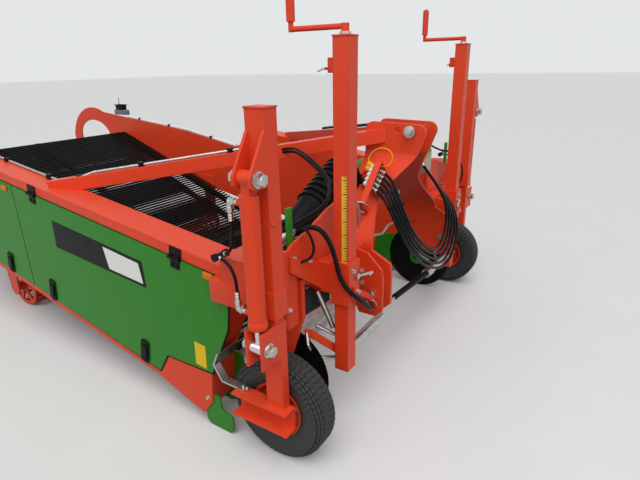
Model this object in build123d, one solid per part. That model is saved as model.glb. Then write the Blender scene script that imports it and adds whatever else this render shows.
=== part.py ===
from build123d import *
from math import radians, sqrt, tan
import os

# Onion harvester carried on a tractor's three-point linkage.
# Millimetres. +X is the travel direction, +Y is the left side, +Z is up, the ground is Z = 0.
# X = 0 is the axle line of the two front depth wheels.
# Pieces are drawn on the left side and mirrored to the right one.

RIGHT = -1
LEFT = 1
SIDES = {"right": RIGHT, "left": LEFT}

# General
SHEET = 8.0              # side plates
SKIN = 5.0               # folded covers
SEAT = 0.3               # gap between pieces that rest on each other
RUN = 0.05               # radial running gap of a shaft in its bearing
SLIDE = 0.4              # gap of a tube that slides in another

# Side plates of the web channel
CHANNEL_Y = 840.0        # inner face of each side plate
LEDGE_Z = 713.0          # height of the side frame's top at X = 0
LEDGE_SLOPE = 7.4        # degrees, rising rearwards
PLATE_FRONT_X = -160.0
LEDGE_END_X = {"right": -2540.0, "left": -1420.0}
REAR_TOP = [(-1760.0, 768.0), (-2300.0, 862.0), (-3450.0, 982.0)]
REAR_TIP = (-3990.0, 735.0)
REAR_FOOT = (-3960.0, 600.0)
CROWN_BULGE = (-3870.0, 925.0)
SKIRT_FRONT = (-620.0, 140.0)
SKIRT_SLOPE = 10.6       # degrees, rising rearwards
BELLY_END = (-2700.0, 520.0)
LOOP_HOLE = (-3620.0, 750.0, 235.0, 150.0)   # centre x, centre z, half length, half height
TOE = [(-160.0, 600.0), (-285.0, 300.0), (-305.0, 120.0), (-360.0, 52.0), (-450.0, 80.0)]
WINDOW = (-305.0, 625.0, 48.0, 80.0)         # slot in each side plate: x, z, half sizes

# Side covers and doors
COVER_Y = 970.0          # outer face of the covers
HEM = 42.0
SKIRT_STRIP = 46.0
FRONT_BAND = 42.0
DOOR_THICK = 14.0
DOOR_GAP = 6.0
DOOR_SEAM_X = -1530.0
DOOR_REAR_X = {"right": -2500.0, "left": -1380.0}
HINGE_OUT = 9.0          # hinge axis outside the cover
HINGE_RADIUS = 7.0
HINGE_PIN = 4.0
HINGE_HALF = 30.0        # half length of the frame's strap
HINGE_EYE = 11.0         # half length of the door's eye
HINGE_LEAF = 4.0         # thickness of strap and leaf
HINGE_REACH = 34.0       # how far strap and leaf lie on the sheet
DOOR_HINGES = {
    "right_front_door": (-415.0, -1350.0),
    "right_rear_door": (-1720.0, -2330.0),
    "left_door": (-415.0, -1230.0),
}
LATCH_UP = 110.0         # latches above the skirt's edge
LATCH_SIZE = (70.0, 9.0, 34.0)
LATCH_SPOTS = {
    "right_front_door": (-730.0, -1350.0),
    "right_rear_door": (-1720.0, -2330.0),
    "left_door": (-730.0, -1240.0),
}

# Depth wheels, their posts and legs
AXLE_Z = 201.5           # tyre radius
WHEEL_Y = 900.0
TYRE_WIDTH = 108.0
RIM_RADIUS = 104.0
RIM_WALL = 8.0
RIM_WIDTH = 78.0
RIM_DISC = 10.0
HUB_RADIUS = 34.0
STUB_RADIUS = 15.0
STUB_IN = 862.0
POST_X = 45.0
POST_Y = 992.0
POST_SIZE = (70.0, 56.0)
POST_WALL = 5.0
POST_TOP = 1270.0
POST_CAP = 6.0
COLLAR = (630.0, 722.0)
COLLAR_OVER = 5.0
LEG_TOP = 1010.0
LEG_DOWN = 220.0         # stroke of the cylinder
FORK_Z = (478.0, 606.0)
LEG_PLATE_Z = (262.0, 520.0)
LEG_PLATE_Y = (966.0, 1002.0)
SHOE = (-142.0, 104.0, 178.0, 272.0)         # wheel carrier x0, x1, z0, z1
SHOE_OVER = 22.0         # carrier beyond the leg's plates
SHOE_WALL = 8.0
SCRAPER_THICK = 6.0
SCRAPER_WIDTH = 30.0
SCRAPER_BENDS = [(40.0, 0.0), (-70.0, 0.0), (-110.0, 60.0), (-84.0, 118.0)]   # from the carrier's rear top edge
SCRAPER_BLADE = 70.0     # how far the blade reaches in over the tread

# Hydraulic cylinders beside the posts
CYL_Y = POST_Y + 70.0
CYL_RADIUS = 29.0
CYL_BORE = 23.0
CYL_Z = (618.0, 1040.0)
CYL_EYE_Z = 1086.0
ROD_RADIUS = 14.0
ROD_TOP = 1000.0
ROD_EYE_Z = 545.0
EYE_RADIUS = 24.0
CYL_PIN_RADIUS = 10.0
PIN_HEAD = 16.0
EAR_THICK = 10.0
EAR_TOP = 1215.0
EAR_OVER = 32.0          # ears beyond the cylinder's axis
PORT_RADIUS = 11.0
PORTS_Z = (660.0, 1012.0)
PORT_END = 14.0          # ports stand out of the barrel

# Main beam, crank posts
BEAM_X = (-63.0, 57.0)
BEAM_Z = (560.0, 680.0)
BEAM_WALL = 8.0
BRACKET_Z = (640.0, 790.0)
BRACKET_OUT_Y = 1000.0
WING_X = (-12.0, 0.0)
WING = [
    (848.0, 480.0), (848.0, 770.0), (804.0, 798.0), (671.0, 831.0), (570.0, 866.0), (500.0, 880.0), (470.0, 860.0),
    (470.0, 680.0), (600.0, 620.0), (660.0, 577.0), (785.0, 690.0), (785.0, 480.0),
]
RISER = [(640.0, 562.0), (640.0, 664.0), (848.0, 770.0), (848.0, 712.0)]   # beam's rise to the side plate
RISER_X = (-63.0, 20.0)
CRANK_X = 97.0
CRANK_Y = 612.0
CRANK_SIZE = 60.0
CRANK_WALL = 5.0
CRANK_Z = (224.0, 1462.0)
CRANK_TRAVEL = (-140.0, 60.0)
SLEEVE_WALL = 9.6
SLEEVE_Z = (520.0, 694.0)
CRANK_ARM = 212.0
CRANK_ARM_Z = 1492.0
CRANK_GRIP_TOP = 1640.0
CRANK_ROD = 9.0
CRANK_GRIP = 15.0
FINDER_Z = 300.0         # cross tube at the foot of each crank post
FINDER_END = 290.0
FINDER_RADIUS = 22.0
FINDER_WIRE = 8.0
FINDER_AHEAD = 4.0       # tube in front of the post's axis
FINDER_BENDS = [(0.0, -16.0), (-20.0, -62.0), (-111.0, -82.0), (-211.0, -34.0)]   # x and z from the tube's axis
FINDER_WIRE_IN = (40.0, 20.0)                 # wire's ends inside the post's inner and outer face
FINDER_BEND = 22.0

# Three-point headstock: two plates, upright at the mast, then splayed, then upright again
MAST_Y = 75.0            # outer face of each mast plate
BELL_SHEET = 15.0
BELL_TOP = 985.0         # where the plates start to splay
BELL_FOOT_Y = 379.0      # outer face of the lower walls
BELL_BEND = 60.0         # inner radius of both bends
BELL_REAR = -105.0
MAST_TOP = (1136.0, 1130.0)                   # top edge at the rear and at the front
MAST_NOSE_X = 196.0
MAST_ROUND = 36.0
BELL_FRONT = [
    (146.0, 1003.0), (100.0, 933.0), (60.0, 869.0), (47.0, 815.0), (60.0, 750.0), (80.0, 700.0), (88.0, 650.0),
]
BRIDGE = (12.0, 870.0)   # thickness and lower edge of the plate that carries the gearbox
MAST_PIN = (111.0, 1100.0)
MAST_PIN_RADIUS = 12.7
MAST_PIN_END = 112.0
MAST_COLLAR = (22.0, 12.0)                    # radius, length
MAST_HOLE = (51.0, 1104.0)                    # the free hole behind the pin
LINK_PIN = (135.0, 490.0)
LINK_GAP = 66.0
LINK_PIN_Y = BELL_FOOT_Y + LINK_GAP / 2
LINK_PIN_RADIUS = 14.3
LINK_PIN_OVER = 14.0
LINK_PLATE = 12.0
LINK_NOSE = [(174.0, 606.0), (180.0, 565.0), (180.0, 425.0), (150.0, 396.0), (75.0, 396.0)]
LINK_REAR = [(57.0, 430.0), (57.0, 680.0), (110.0, 668.0)]
WALL_REAR = [(-60.0, 440.0), (-105.0, 500.0)]

# Hydraulics on the headstock
HOLDER_X = (-8.0, 22.0)
HOLDER_REACH = (64.0, 296.0)                  # along the splayed plate from its top
HOLDER_RISE = 58.0
HOLDER_SHEET = 6.0
HOSE_RADIUS = 7.0
HOSE_COUNT = 5
COUPLER = (10.0, 74.0)                        # radius, length
FERRULE = (10.0, 12.0)
OUTER_HOSE = [
    (20, -238, 872), (75, -265, 858), (122, -298, 810), (158, -300, 730), (182, -248, 630), (190, -150, 535),
    (190, -25, 455), (190, 110, 392), (190, 245, 348), (190, 355, 342), (190, 440, 378), (190, 485, 455),
    (190, 478, 550), (182, 420, 640), (160, 350, 715), (130, 300, 768), (98, 285, 815), (60, 300, 855),
]
INNER_HOSE = [
    (20, -165, 935), (72, -186, 921), (120, -212, 880), (158, -225, 818), (182, -200, 748), (190, -150, 685),
    (190, -75, 625), (190, 0, 575), (190, 75, 535), (190, 145, 520), (190, 205, 545), (190, 235, 600),
    (190, 238, 665), (182, 225, 728), (160, 212, 785), (130, 200, 835), (98, 190, 880), (60, 190, 925),
]
VALVE_BLOCK = (-20.0, 44.0, 165.0, 390.0, 845.0, 950.0)
SENSOR_BOX = (-5.0, 58.0, 205.0, 345.0, 1005.0)   # x0, x1, y0, y1, top
CYLINDER_HOSE_RADIUS = 5.5
ELBOW_RADIUS = 9.0
UPPER_HOSE = [
    (-31, 1062, 978), (-31, 1062, 936), (-38, 1056, 894), (-54, 1046, 858), (-80, 1034, 832), (-112, 1022, 816),
]
LOWER_HOSE = [
    (-31, 1062, 694), (-31, 1062, 736), (-38, 1060, 768), (-56, 1056, 794), (-84, 1050, 808), (-116, 1044, 810),
]
HOSE_BLOCK = (-160.0, -126.0, 56.0, 768.0, 828.0)   # x0, x1, width, z0, z1

# Braces
BRACE_FOOT_X = -1230.0
BRACE_HEAD = (-32.0, 66.0, 1075.0)
BRACE_OVER = 60.0        # bar beyond both ends before it is cut
BRACE_SIZE = (50.0, 60.0)

# Web, rollers and ground tools
WEB_PATH = [(-600.0, 112.0), (-1540.0, 171.0), (-3115.0, 733.0)]   # shafts: front, kink, top
WEB_DRUM = 62.0          # radius at the belts' inner face
WEB_Y = 812.0            # half length of the bars
WEB_PITCH = 50.0
BELT_THICK = 9.0
BELT_WIDTH = 62.0
BELT_PLACES = (-745.0, 0.0, 745.0)
BAR = 11.0
ROLLER_SHAFT = 20.0
SPROCKET_WIDTH = 50.0
LIFT_SHAFT = (-372.0, 84.0, 45.0)             # x, z, side of the square
LIFT_END = 20.0
CAGE = (-2090.0, 130.0, 130.0)                # x, z, radius
CAGE_BARS = 12
CAGE_BAR = 9.0
CAGE_SHAFT = 24.0
CAGE_Y = 790.0
CAGE_RING = (10.0, 22.0)                      # thickness, depth
CAGE_SPOKE = 24.0
CAGE_ARM = 10.0
CAGE_HUB = 20.0          # arm's hub round the shaft
CAGE_ARM_RISE = 90.0     # arm above the skirt's edge
CAGE_ARM_FLARE = 30.0
CHEEK = 10.0
CHEEK_OUTLINE = [
    (-258.0, 300.0), (-232.0, 180.0), (-262.0, 70.0), (-330.0, 40.0), (-440.0, 48.0), (-500.0, 110.0),
    (-480.0, 250.0),
]

# Disc coulters
DISC = (-120.0, 203.0, 200.0)                 # x, z, radius
DISC_Y = 712.0
DISC_THICK = 6.0
DISC_HUB = (46.0, 30.0)                       # radius, half length
DISC_AXLE = 14.0
DISC_ARM_Y = (756.0, 776.0)

# Drive
GEARBOX = (-240.0, BELL_REAR, -110.0, 110.0, 700.0, 930.0)
FLANGE = (62.0, 40.0)    # radius, length
PTO_Z = 800.0
PTO_RADIUS = 17.5
PTO_END_X = 33.0
GUARD_START = (-170.0, -150.0, 905.0)
GUARD_END = (-205.0, -520.0, 745.0)
GUARD_RADII = (96.0, 50.0)
GUARD_RIBS = 8
GUARD_ROOM = 8.0         # gap round the guard in the headstock
SIDE_SHAFT_RADIUS = 25.0

# The pieces are drawn from the wheels' axle line and saved from the middle of the machine's length
ORIGIN_X = (REAR_TIP[0] + AXLE_Z) / 2


def box(x0, x1, y0, y1, z0, z1):
    centre = Pos((x0 + x1) / 2, (y0 + y1) / 2, (z0 + z1) / 2)
    return centre * Box(abs(x1 - x0), abs(y1 - y0), abs(z1 - z0))


def rod(start, end, radius):
    """A round bar from start to end."""
    start, end = Vector(*start), Vector(*end)
    plane = Plane(origin=start, z_dir=end - start)
    return plane * Cylinder(radius, (end - start).length, align=(Align.CENTER, Align.CENTER, Align.MIN))


def cross_rod(x, z, y0, y1, radius):
    """A round bar along Y."""
    return rod((x, y0, z), (x, y1, z), radius)


def cross_pin_x(x0, x1, radius):
    """A round bar on the X axis."""
    return rod((x0, 0, 0), (x1, 0, 0), radius)


def side_face(points):
    """A face in the XZ plane from (x, z) points."""
    return make_face(Polyline([(x, 0.0, z) for x, z in points], close=True))


def side_prism(points, y0, y1):
    """The outline in X and Z, filled from y0 to y1."""
    return extrude(Pos(0, y0, 0) * side_face(points), amount=y1 - y0, dir=(0, 1, 0))


def front_face(points, x):
    """A face in a plane across the machine from (y, z) points."""
    return make_face(Polyline([(x, y, z) for y, z in points], close=True))


def to_side(shape, side):
    return shape if side == LEFT else mirror(shape, about=Plane.XZ)


def pair(shape):
    return [to_side(shape, RIGHT), shape]


def pair_all(shapes):
    return [to_side(shape, side) for shape in shapes for side in SIDES.values()]


def save(name, shapes):
    solids = []
    for shape in shapes if isinstance(shapes, (list, tuple)) else [shapes]:
        solids += shape.solids()
    solids = [Pos(-ORIGIN_X, 0, 0) * solid for solid in solids]
    export_step(solids[0] if len(solids) == 1 else Compound(children=solids), f"parts/{name}.step")


def ledge_z(x):
    return LEDGE_Z - x * tan(radians(LEDGE_SLOPE))


def skirt_z(x):
    return SKIRT_FRONT[1] + (SKIRT_FRONT[0] - x) * tan(radians(SKIRT_SLOPE))


def between(x, low, high):
    """Height at x on the straight line through two (x, z) points."""
    return low[1] + (x - low[0]) / (high[0] - low[0]) * (high[1] - low[1])


def inset(points, distance):
    """The closed (x, z) outline moved inwards, corner by corner."""
    corners = [Vector(x, 0, z) for x, z in points]
    turns = sum((b.X - a.X) * (b.Z + a.Z) for a, b in zip(corners, corners[1:] + corners[:1]))
    inward = 1 if turns < 0 else -1
    moved = []
    for i, corner in enumerate(corners):
        before = (corner - corners[i - 1]).normalized()
        after = (corners[(i + 1) % len(corners)] - corner).normalized()
        normal_a, normal_b = Vector(-before.Z, 0, before.X), Vector(-after.Z, 0, after.X)
        mitre = (normal_a + normal_b) * (inward * distance / (1 + normal_a.dot(normal_b)))
        moved.append(((corner + mitre).X, (corner + mitre).Z))
    return moved


# Side frames


def side_plate(name):
    """The wall of the web channel, with the round loop at its rear end."""
    end_x = LEDGE_END_X[name]
    bend, shoulder, head = REAR_TOP
    foot_x = min(end_x, bend[0])
    foot_z = between(foot_x, bend, shoulder) if foot_x > shoulder[0] else between(foot_x, shoulder, head)
    rear_top = [(foot_x, foot_z)] + [p for p in (shoulder, head) if p[0] < foot_x]
    front = [(end_x, ledge_z(end_x)), (PLATE_FRONT_X, ledge_z(PLATE_FRONT_X))]
    under = TOE + [SKIRT_FRONT, BELLY_END, REAR_FOOT, REAR_TIP]
    edge = Polyline([(x, 0, z) for x, z in reversed(rear_top)] + [(x, 0, z) for x, z in front + under])
    crown = ThreePointArc(*[(x, 0, z) for x, z in (REAR_TIP, CROWN_BULGE, head)])
    plate = extrude(Pos(0, CHANNEL_Y, 0) * make_face([edge, crown]), amount=SHEET, dir=(0, 1, 0))
    hole_x, hole_z, half_x, half_z = LOOP_HOLE
    hole_plane = Plane(origin=(hole_x, CHANNEL_Y - 1, hole_z), x_dir=(1, 0, 0), z_dir=(0, 1, 0))
    plate -= extrude(hole_plane * Ellipse(half_x, half_z), amount=SHEET + 2)
    lift_x, lift_z, _ = LIFT_SHAFT
    bores = [(lift_x, lift_z, LIFT_END + RUN)] + [(x, z, ROLLER_SHAFT) for x, z in WEB_PATH]
    for x, z, radius in bores:
        plate -= cross_rod(x, z, CHANNEL_Y - 1, CHANNEL_Y + SHEET + 1, radius)
    slot_x, slot_z, half_x, half_z = WINDOW
    slot = box(
        slot_x - half_x, slot_x + half_x, CHANNEL_Y - 1, CHANNEL_Y + SHEET + 1, slot_z - half_z, slot_z + half_z
    )
    return plate - fillet(slot.edges().filter_by(Axis.Y), half_x * 0.6)


def cover_outline(name):
    end_x = LEDGE_END_X[name]
    top = [(end_x, ledge_z(end_x)), (PLATE_FRONT_X, ledge_z(PLATE_FRONT_X))]
    return top + TOE + [SKIRT_FRONT, (end_x, skirt_z(end_x))]


def door_opening(name):
    front_x = PLATE_FRONT_X - FRONT_BAND
    rear_x = DOOR_REAR_X[name]
    knee_x, knee_z = TOE[1]
    return [
        (front_x, ledge_z(front_x) - HEM),
        (front_x, TOE[0][1]),
        (knee_x - 1.4 * FRONT_BAND, knee_z),
        (SKIRT_FRONT[0], SKIRT_FRONT[1] + SKIRT_STRIP),
        (rear_x, skirt_z(rear_x) + SKIRT_STRIP),
        (rear_x, ledge_z(rear_x) - HEM),
    ]


def cover_frame(name):
    """The folded frame round the doors: ledge, front band, skirt and rear end."""
    inner_y = CHANNEL_Y + SHEET
    frame = side_prism(cover_outline(name), inner_y, COVER_Y)
    frame -= side_prism(inset(cover_outline(name), SKIN), inner_y - 1, COVER_Y - SKIN)
    frame -= side_prism(door_opening(name), COVER_Y - 2 * SKIN, COVER_Y + 1)
    return frame


def door_faces(name):
    """The outline of each door on one side, inside the opening by the door gap."""
    face = side_face(inset(door_opening(name), DOOR_GAP))
    if name == "left":
        return {"left_door": face}
    fore = box(DOOR_SEAM_X + DOOR_GAP / 2, AXLE_Z, -1, 1, 0, CRANK_GRIP_TOP)
    aft = box(REAR_TIP[0], DOOR_SEAM_X - DOOR_GAP / 2, -1, 1, 0, CRANK_GRIP_TOP)
    return {"right_front_door": face & fore, "right_rear_door": face & aft}


def latch(x):
    length, thick, high = LATCH_SIZE
    z = skirt_z(x) + LATCH_UP
    return box(x - length / 2, x + length / 2, COVER_Y - 1, COVER_Y + thick, z - high / 2, z + high / 2)


def door(name, face):
    """A door skin with its hinge leaves and latches."""
    skin = extrude(Pos(0, COVER_Y - DOOR_THICK, 0) * face, amount=DOOR_THICK, dir=(0, 1, 0))
    for x in LATCH_SPOTS[name]:
        skin += latch(x)
    for x in DOOR_HINGES[name]:
        skin += leaf(x)
    return skin


def hinge_z(x):
    return ledge_z(x) - HEM - DOOR_GAP / 2


def at_hinge(x, shape):
    """Places a shape drawn about the hinge axis: X along the pin, Y outwards, Z up."""
    return Pos(x, COVER_Y + HINGE_OUT, hinge_z(x)) * Rot(0, LEDGE_SLOPE, 0) * shape


def hinge(x):
    """The strap on the hem with the pin and the two knuckles that hold it."""
    face, half, rise = -HINGE_OUT, HINGE_HALF, DOOR_GAP / 2
    low = HINGE_RADIUS + 2
    fixed = box(-half, half, face, face + HINGE_LEAF, low, low + HINGE_REACH)
    fixed += cross_pin_x(-half, half, HINGE_PIN)
    for x0, x1 in ((-half, -HINGE_EYE - 1), (HINGE_EYE + 1, half)):
        fixed += box(x0, x1, face, 0, rise, low + 1) + cross_pin_x(x0, x1, HINGE_RADIUS)
    return at_hinge(x, fixed)


def leaf(x):
    """The door's half of a hinge: a leaf on its face and an eye on the pin."""
    face, low = -HINGE_OUT, -HINGE_RADIUS - 3
    plate = box(-HINGE_HALF + 6, HINGE_HALF - 6, face - 1, face + HINGE_LEAF, low - HINGE_REACH, low)
    neck = box(-HINGE_EYE, HINGE_EYE, face - 1, -HINGE_PIN, low - 1, -DOOR_GAP / 2 - 1)
    eye = cross_pin_x(-HINGE_EYE, HINGE_EYE, HINGE_RADIUS) + neck + plate
    return at_hinge(x, eye - cross_pin_x(-HINGE_HALF, HINGE_HALF, HINGE_PIN + RUN))


# Front: beam, posts, headstock


def main_beam():
    """Both halves of the cross beam, with the crank posts' sleeves and the rise to the side plates."""
    x0, x1 = BEAM_X
    z0, z1 = BEAM_Z
    end_y = CRANK_Y + CRANK_SIZE / 2 + SLEEVE_WALL + SLIDE
    beam = box(x0, x1, BELL_FOOT_Y, end_y, z0, z1)
    wall = BEAM_WALL
    beam -= box(x0 + wall, x1 - wall, BELL_FOOT_Y + wall, end_y - wall, z0 + wall, z1 - wall)
    rise = extrude(front_face(RISER, RISER_X[0]), amount=RISER_X[1] - RISER_X[0], dir=(1, 0, 0))
    wing = extrude(front_face(WING, WING_X[0]), amount=WING_X[1] - WING_X[0], dir=(1, 0, 0))
    wing -= box(x0, x1, BELL_FOOT_Y, end_y, z0 + wall / 2, z1)
    return pair(beam + rise + wing + crank_sleeve())


def crank_sleeve():
    half = CRANK_SIZE / 2 + SLEEVE_WALL + SLIDE
    bore = CRANK_SIZE / 2 + SLIDE
    low, high = SLEEVE_Z
    sleeve = box(BEAM_X[1], CRANK_X + half, CRANK_Y - half, CRANK_Y + half, low, high)
    return sleeve - box(CRANK_X - bore, CRANK_X + bore, CRANK_Y - bore, CRANK_Y + bore, low - 1, high + 1)


def post_rect(grow, z0, z1):
    half_x, half_y = POST_SIZE[0] / 2 + grow, POST_SIZE[1] / 2 + grow
    return box(POST_X - half_x, POST_X + half_x, POST_Y - half_y, POST_Y + half_y, z0, z1)


def depth_post():
    """The outer tube that the wheel leg slides in, with its collar, ears and frame bracket."""
    post = post_rect(0, COLLAR[0], POST_TOP) + post_rect(COLLAR_OVER, *COLLAR)
    post += post_rect(2, POST_TOP, POST_TOP + POST_CAP)
    post -= post_rect(-POST_WALL, COLLAR[0] - 1, POST_TOP)
    face_y = POST_Y + POST_SIZE[1] / 2
    low_z = CYL_EYE_Z - EYE_RADIUS - 6
    ear_y = CYL_Y + EAR_OVER
    outline = [
        (face_y, EAR_TOP), (ear_y, CYL_EYE_Z + 8), (ear_y, low_z + 12), (ear_y - 20, low_z), (face_y, low_z),
    ]
    for x in (POST_X - POST_SIZE[0] / 2, POST_X + POST_SIZE[0] / 2 - EAR_THICK):
        post += extrude(front_face(outline, x), amount=EAR_THICK, dir=(1, 0, 0))
    rear_x = POST_X - POST_SIZE[0] / 2
    inner_y = CHANNEL_Y + SHEET
    low_z, high_z = BRACKET_Z
    post += box(PLATE_FRONT_X, rear_x, inner_y, BRACKET_OUT_Y, low_z, high_z)
    hollow = box(PLATE_FRONT_X - 1, rear_x - SKIN, inner_y + SKIN, BRACKET_OUT_Y - SKIN, low_z - 1, high_z - SKIN)
    post -= hollow
    end_x = rear_x + POST_SIZE[0] + 1
    return post - rod((rear_x - 1, CYL_Y, CYL_EYE_Z), (end_x, CYL_Y, CYL_EYE_Z), CYL_PIN_RADIUS)


def cylinder_barrel():
    low, high = CYL_Z
    barrel = rod((POST_X, CYL_Y, low), (POST_X, CYL_Y, high), CYL_RADIUS)
    barrel -= rod((POST_X, CYL_Y, low - 1), (POST_X, CYL_Y, high - 18), CYL_BORE)
    neck = rod((POST_X, CYL_Y, low), (POST_X, CYL_Y, low + 30), CYL_BORE)
    barrel += neck - rod((POST_X, CYL_Y, low - 1), (POST_X, CYL_Y, low + 31), ROD_RADIUS + SLIDE)
    half = POST_SIZE[0] / 2 - EAR_THICK - SEAT
    barrel += box(POST_X - 16, POST_X + 16, CYL_Y - 16, CYL_Y + 16, high - 4, CYL_EYE_Z)
    barrel += rod((POST_X - half, CYL_Y, CYL_EYE_Z), (POST_X + half, CYL_Y, CYL_EYE_Z), EYE_RADIUS)
    for z in PORTS_Z:
        end_x = POST_X - CYL_RADIUS - PORT_END
        barrel += rod((POST_X - CYL_RADIUS + 4, CYL_Y, z), (end_x, CYL_Y, z), PORT_RADIUS)
    return barrel + cross_pin(CYL_EYE_Z)


def cross_pin(z):
    """The pin along X through a cylinder's eye, with its head and nut."""
    half = POST_SIZE[0] / 2
    pin = rod((POST_X - half - 18, CYL_Y, z), (POST_X + half + 18, CYL_Y, z), CYL_PIN_RADIUS - RUN)
    for a, b in ((half + SEAT, half + 14), (-half - 14, -half - SEAT)):
        pin += rod((POST_X + a, CYL_Y, z), (POST_X + b, CYL_Y, z), PIN_HEAD)
    return pin


def leg():
    """The sliding inner tube with the fork at its foot and the carrier of the wheel's axle."""
    leg_tube = post_rect(-POST_WALL - SLIDE, FORK_Z[0], LEG_TOP)
    leg_tube -= post_rect(-2 * POST_WALL - SLIDE, FORK_Z[1], LEG_TOP + 1)
    half = POST_SIZE[0] / 2
    outer_y = CYL_Y + EYE_RADIUS + 4
    for x in (POST_X - half, POST_X + half - EAR_THICK):
        leg_tube += box(x, x + EAR_THICK, LEG_PLATE_Y[0], outer_y, *FORK_Z)
    leg_tube -= rod((POST_X - half - 1, CYL_Y, ROD_EYE_Z), (POST_X + half + 1, CYL_Y, ROD_EYE_Z), CYL_PIN_RADIUS)
    leg_tube += box(POST_X - half, POST_X + half, *LEG_PLATE_Y, *LEG_PLATE_Z)
    x0, x1, z0, z1 = SHOE
    shoe_y = LEG_PLATE_Y[1] + SHOE_OVER
    shoe = box(x0, x1, LEG_PLATE_Y[0], shoe_y, z0, z1)
    shoe -= box(x0 - 1, x1 + 1, LEG_PLATE_Y[0] + SHOE_WALL, shoe_y + 1, z0 + SHOE_WALL, z1 - SHOE_WALL)
    return leg_tube + shoe + cross_rod(0, AXLE_Z, STUB_IN, LEG_PLATE_Y[0] + SHOE_WALL, STUB_RADIUS)


def cylinder_rod():
    half = POST_SIZE[0] / 2 - EAR_THICK - SEAT
    piston_rod = rod((POST_X, CYL_Y, ROD_EYE_Z), (POST_X, CYL_Y, ROD_TOP), ROD_RADIUS)
    piston_rod += rod((POST_X, CYL_Y, ROD_TOP - 26), (POST_X, CYL_Y, ROD_TOP), CYL_BORE - SLIDE)
    piston_rod += rod((POST_X - half, CYL_Y, ROD_EYE_Z), (POST_X + half, CYL_Y, ROD_EYE_Z), EYE_RADIUS)
    return piston_rod + cross_pin(ROD_EYE_Z)


def scraper():
    """The bent flat bar that keeps the tyre clean, bolted to the rear of the wheel carrier."""
    t = SCRAPER_THICK
    path = [(SHOE[0] + x, SHOE[3] + z) for x, z in SCRAPER_BENDS]
    outer = [
        (path[3][0] + t, path[3][1] - 2), (path[2][0] + t * 1.3, path[2][1]), (path[1][0] + t, path[1][1] + t),
        (path[0][0], path[0][1] + t),
    ]
    y = WHEEL_Y + TYRE_WIDTH / 2
    low = side_prism(path + outer, LEG_PLATE_Y[0], LEG_PLATE_Y[0] + SCRAPER_WIDTH)
    blade = side_prism([path[3], outer[0], outer[1], path[2]], y - SCRAPER_BLADE, LEG_PLATE_Y[0])
    return low + blade


def rim():
    """The wheel's rim, disc and hub on its stub axle."""
    half = RIM_WIDTH / 2
    hub = cross_rod(0, AXLE_Z, WHEEL_Y - half + 6, WHEEL_Y + half + 8, HUB_RADIUS)
    barrel = cross_rod(0, AXLE_Z, WHEEL_Y - half, WHEEL_Y + half, RIM_RADIUS)
    barrel -= cross_rod(0, AXLE_Z, WHEEL_Y - half - 1, WHEEL_Y + half + 1, RIM_RADIUS - RIM_WALL)
    disc = cross_rod(0, AXLE_Z, WHEEL_Y - RIM_DISC / 2, WHEEL_Y + RIM_DISC / 2, RIM_RADIUS - RIM_WALL / 2)
    return hub + barrel + disc - cross_rod(0, AXLE_Z, STUB_IN - 40, WHEEL_Y + 60, STUB_RADIUS + RUN)


def tyre():
    """A tyre with a flat tread, round shoulders and bulged walls."""
    half = TYRE_WIDTH / 2
    bead = RIM_WIDTH / 2
    profile = Polyline([
        (RIM_RADIUS, -bead), (RIM_RADIUS + 10, -bead - 2), (RIM_RADIUS + 40, -half), (AXLE_Z - 26, -half),
        (AXLE_Z - 8, -half + 10), (AXLE_Z, -half + 26), (AXLE_Z, half - 26), (AXLE_Z - 8, half - 10),
        (AXLE_Z - 26, half), (RIM_RADIUS + 40, half), (RIM_RADIUS + 10, bead + 2), (RIM_RADIUS, bead),
    ], close=True)
    plane = Plane(origin=(0, WHEEL_Y, AXLE_Z), x_dir=(1, 0, 0), z_dir=(0, 0, 1))
    return revolve(plane * make_face(profile), axis=Axis((0, WHEEL_Y, AXLE_Z), (0, 1, 0)))


def crank_post():
    """The post that slides in its sleeve, with the stop lug at its top."""
    half = CRANK_SIZE / 2
    inner = half - CRANK_WALL
    z0, z1 = CRANK_Z
    post = box(CRANK_X - half, CRANK_X + half, CRANK_Y - half, CRANK_Y + half, z0, z1)
    post -= box(CRANK_X - inner, CRANK_X + inner, CRANK_Y - inner, CRANK_Y + inner, z0 - 1, z1 - CRANK_WALL)
    wide = half + 2
    cap = box(CRANK_X - wide, CRANK_X + wide, CRANK_Y - wide, CRANK_Y + wide, z1, z1 + CRANK_WALL)
    lug = box(CRANK_X - half - 34, CRANK_X - half, CRANK_Y - 6, CRANK_Y + 6, z1 - 110, z1 - 62)
    return post + cap + lug


def crank():
    """The hub, arm and grip that turn the screw inside the post."""
    top = CRANK_Z[1] + CRANK_WALL
    end_x = CRANK_X - CRANK_ARM
    hub = rod((CRANK_X, CRANK_Y, top + SEAT), (CRANK_X, CRANK_Y, CRANK_ARM_Z + CRANK_ROD), 13)
    arm = rod((CRANK_X, CRANK_Y, CRANK_ARM_Z), (end_x, CRANK_Y, CRANK_ARM_Z), CRANK_ROD)
    spindle = rod((end_x, CRANK_Y, CRANK_ARM_Z - CRANK_ROD), (end_x, CRANK_Y, CRANK_GRIP_TOP), CRANK_ROD)
    grip = rod((end_x, CRANK_Y, CRANK_ARM_Z + 24), (end_x, CRANK_Y, CRANK_GRIP_TOP - 6), CRANK_GRIP)
    return hub + arm + spindle + grip


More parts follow.
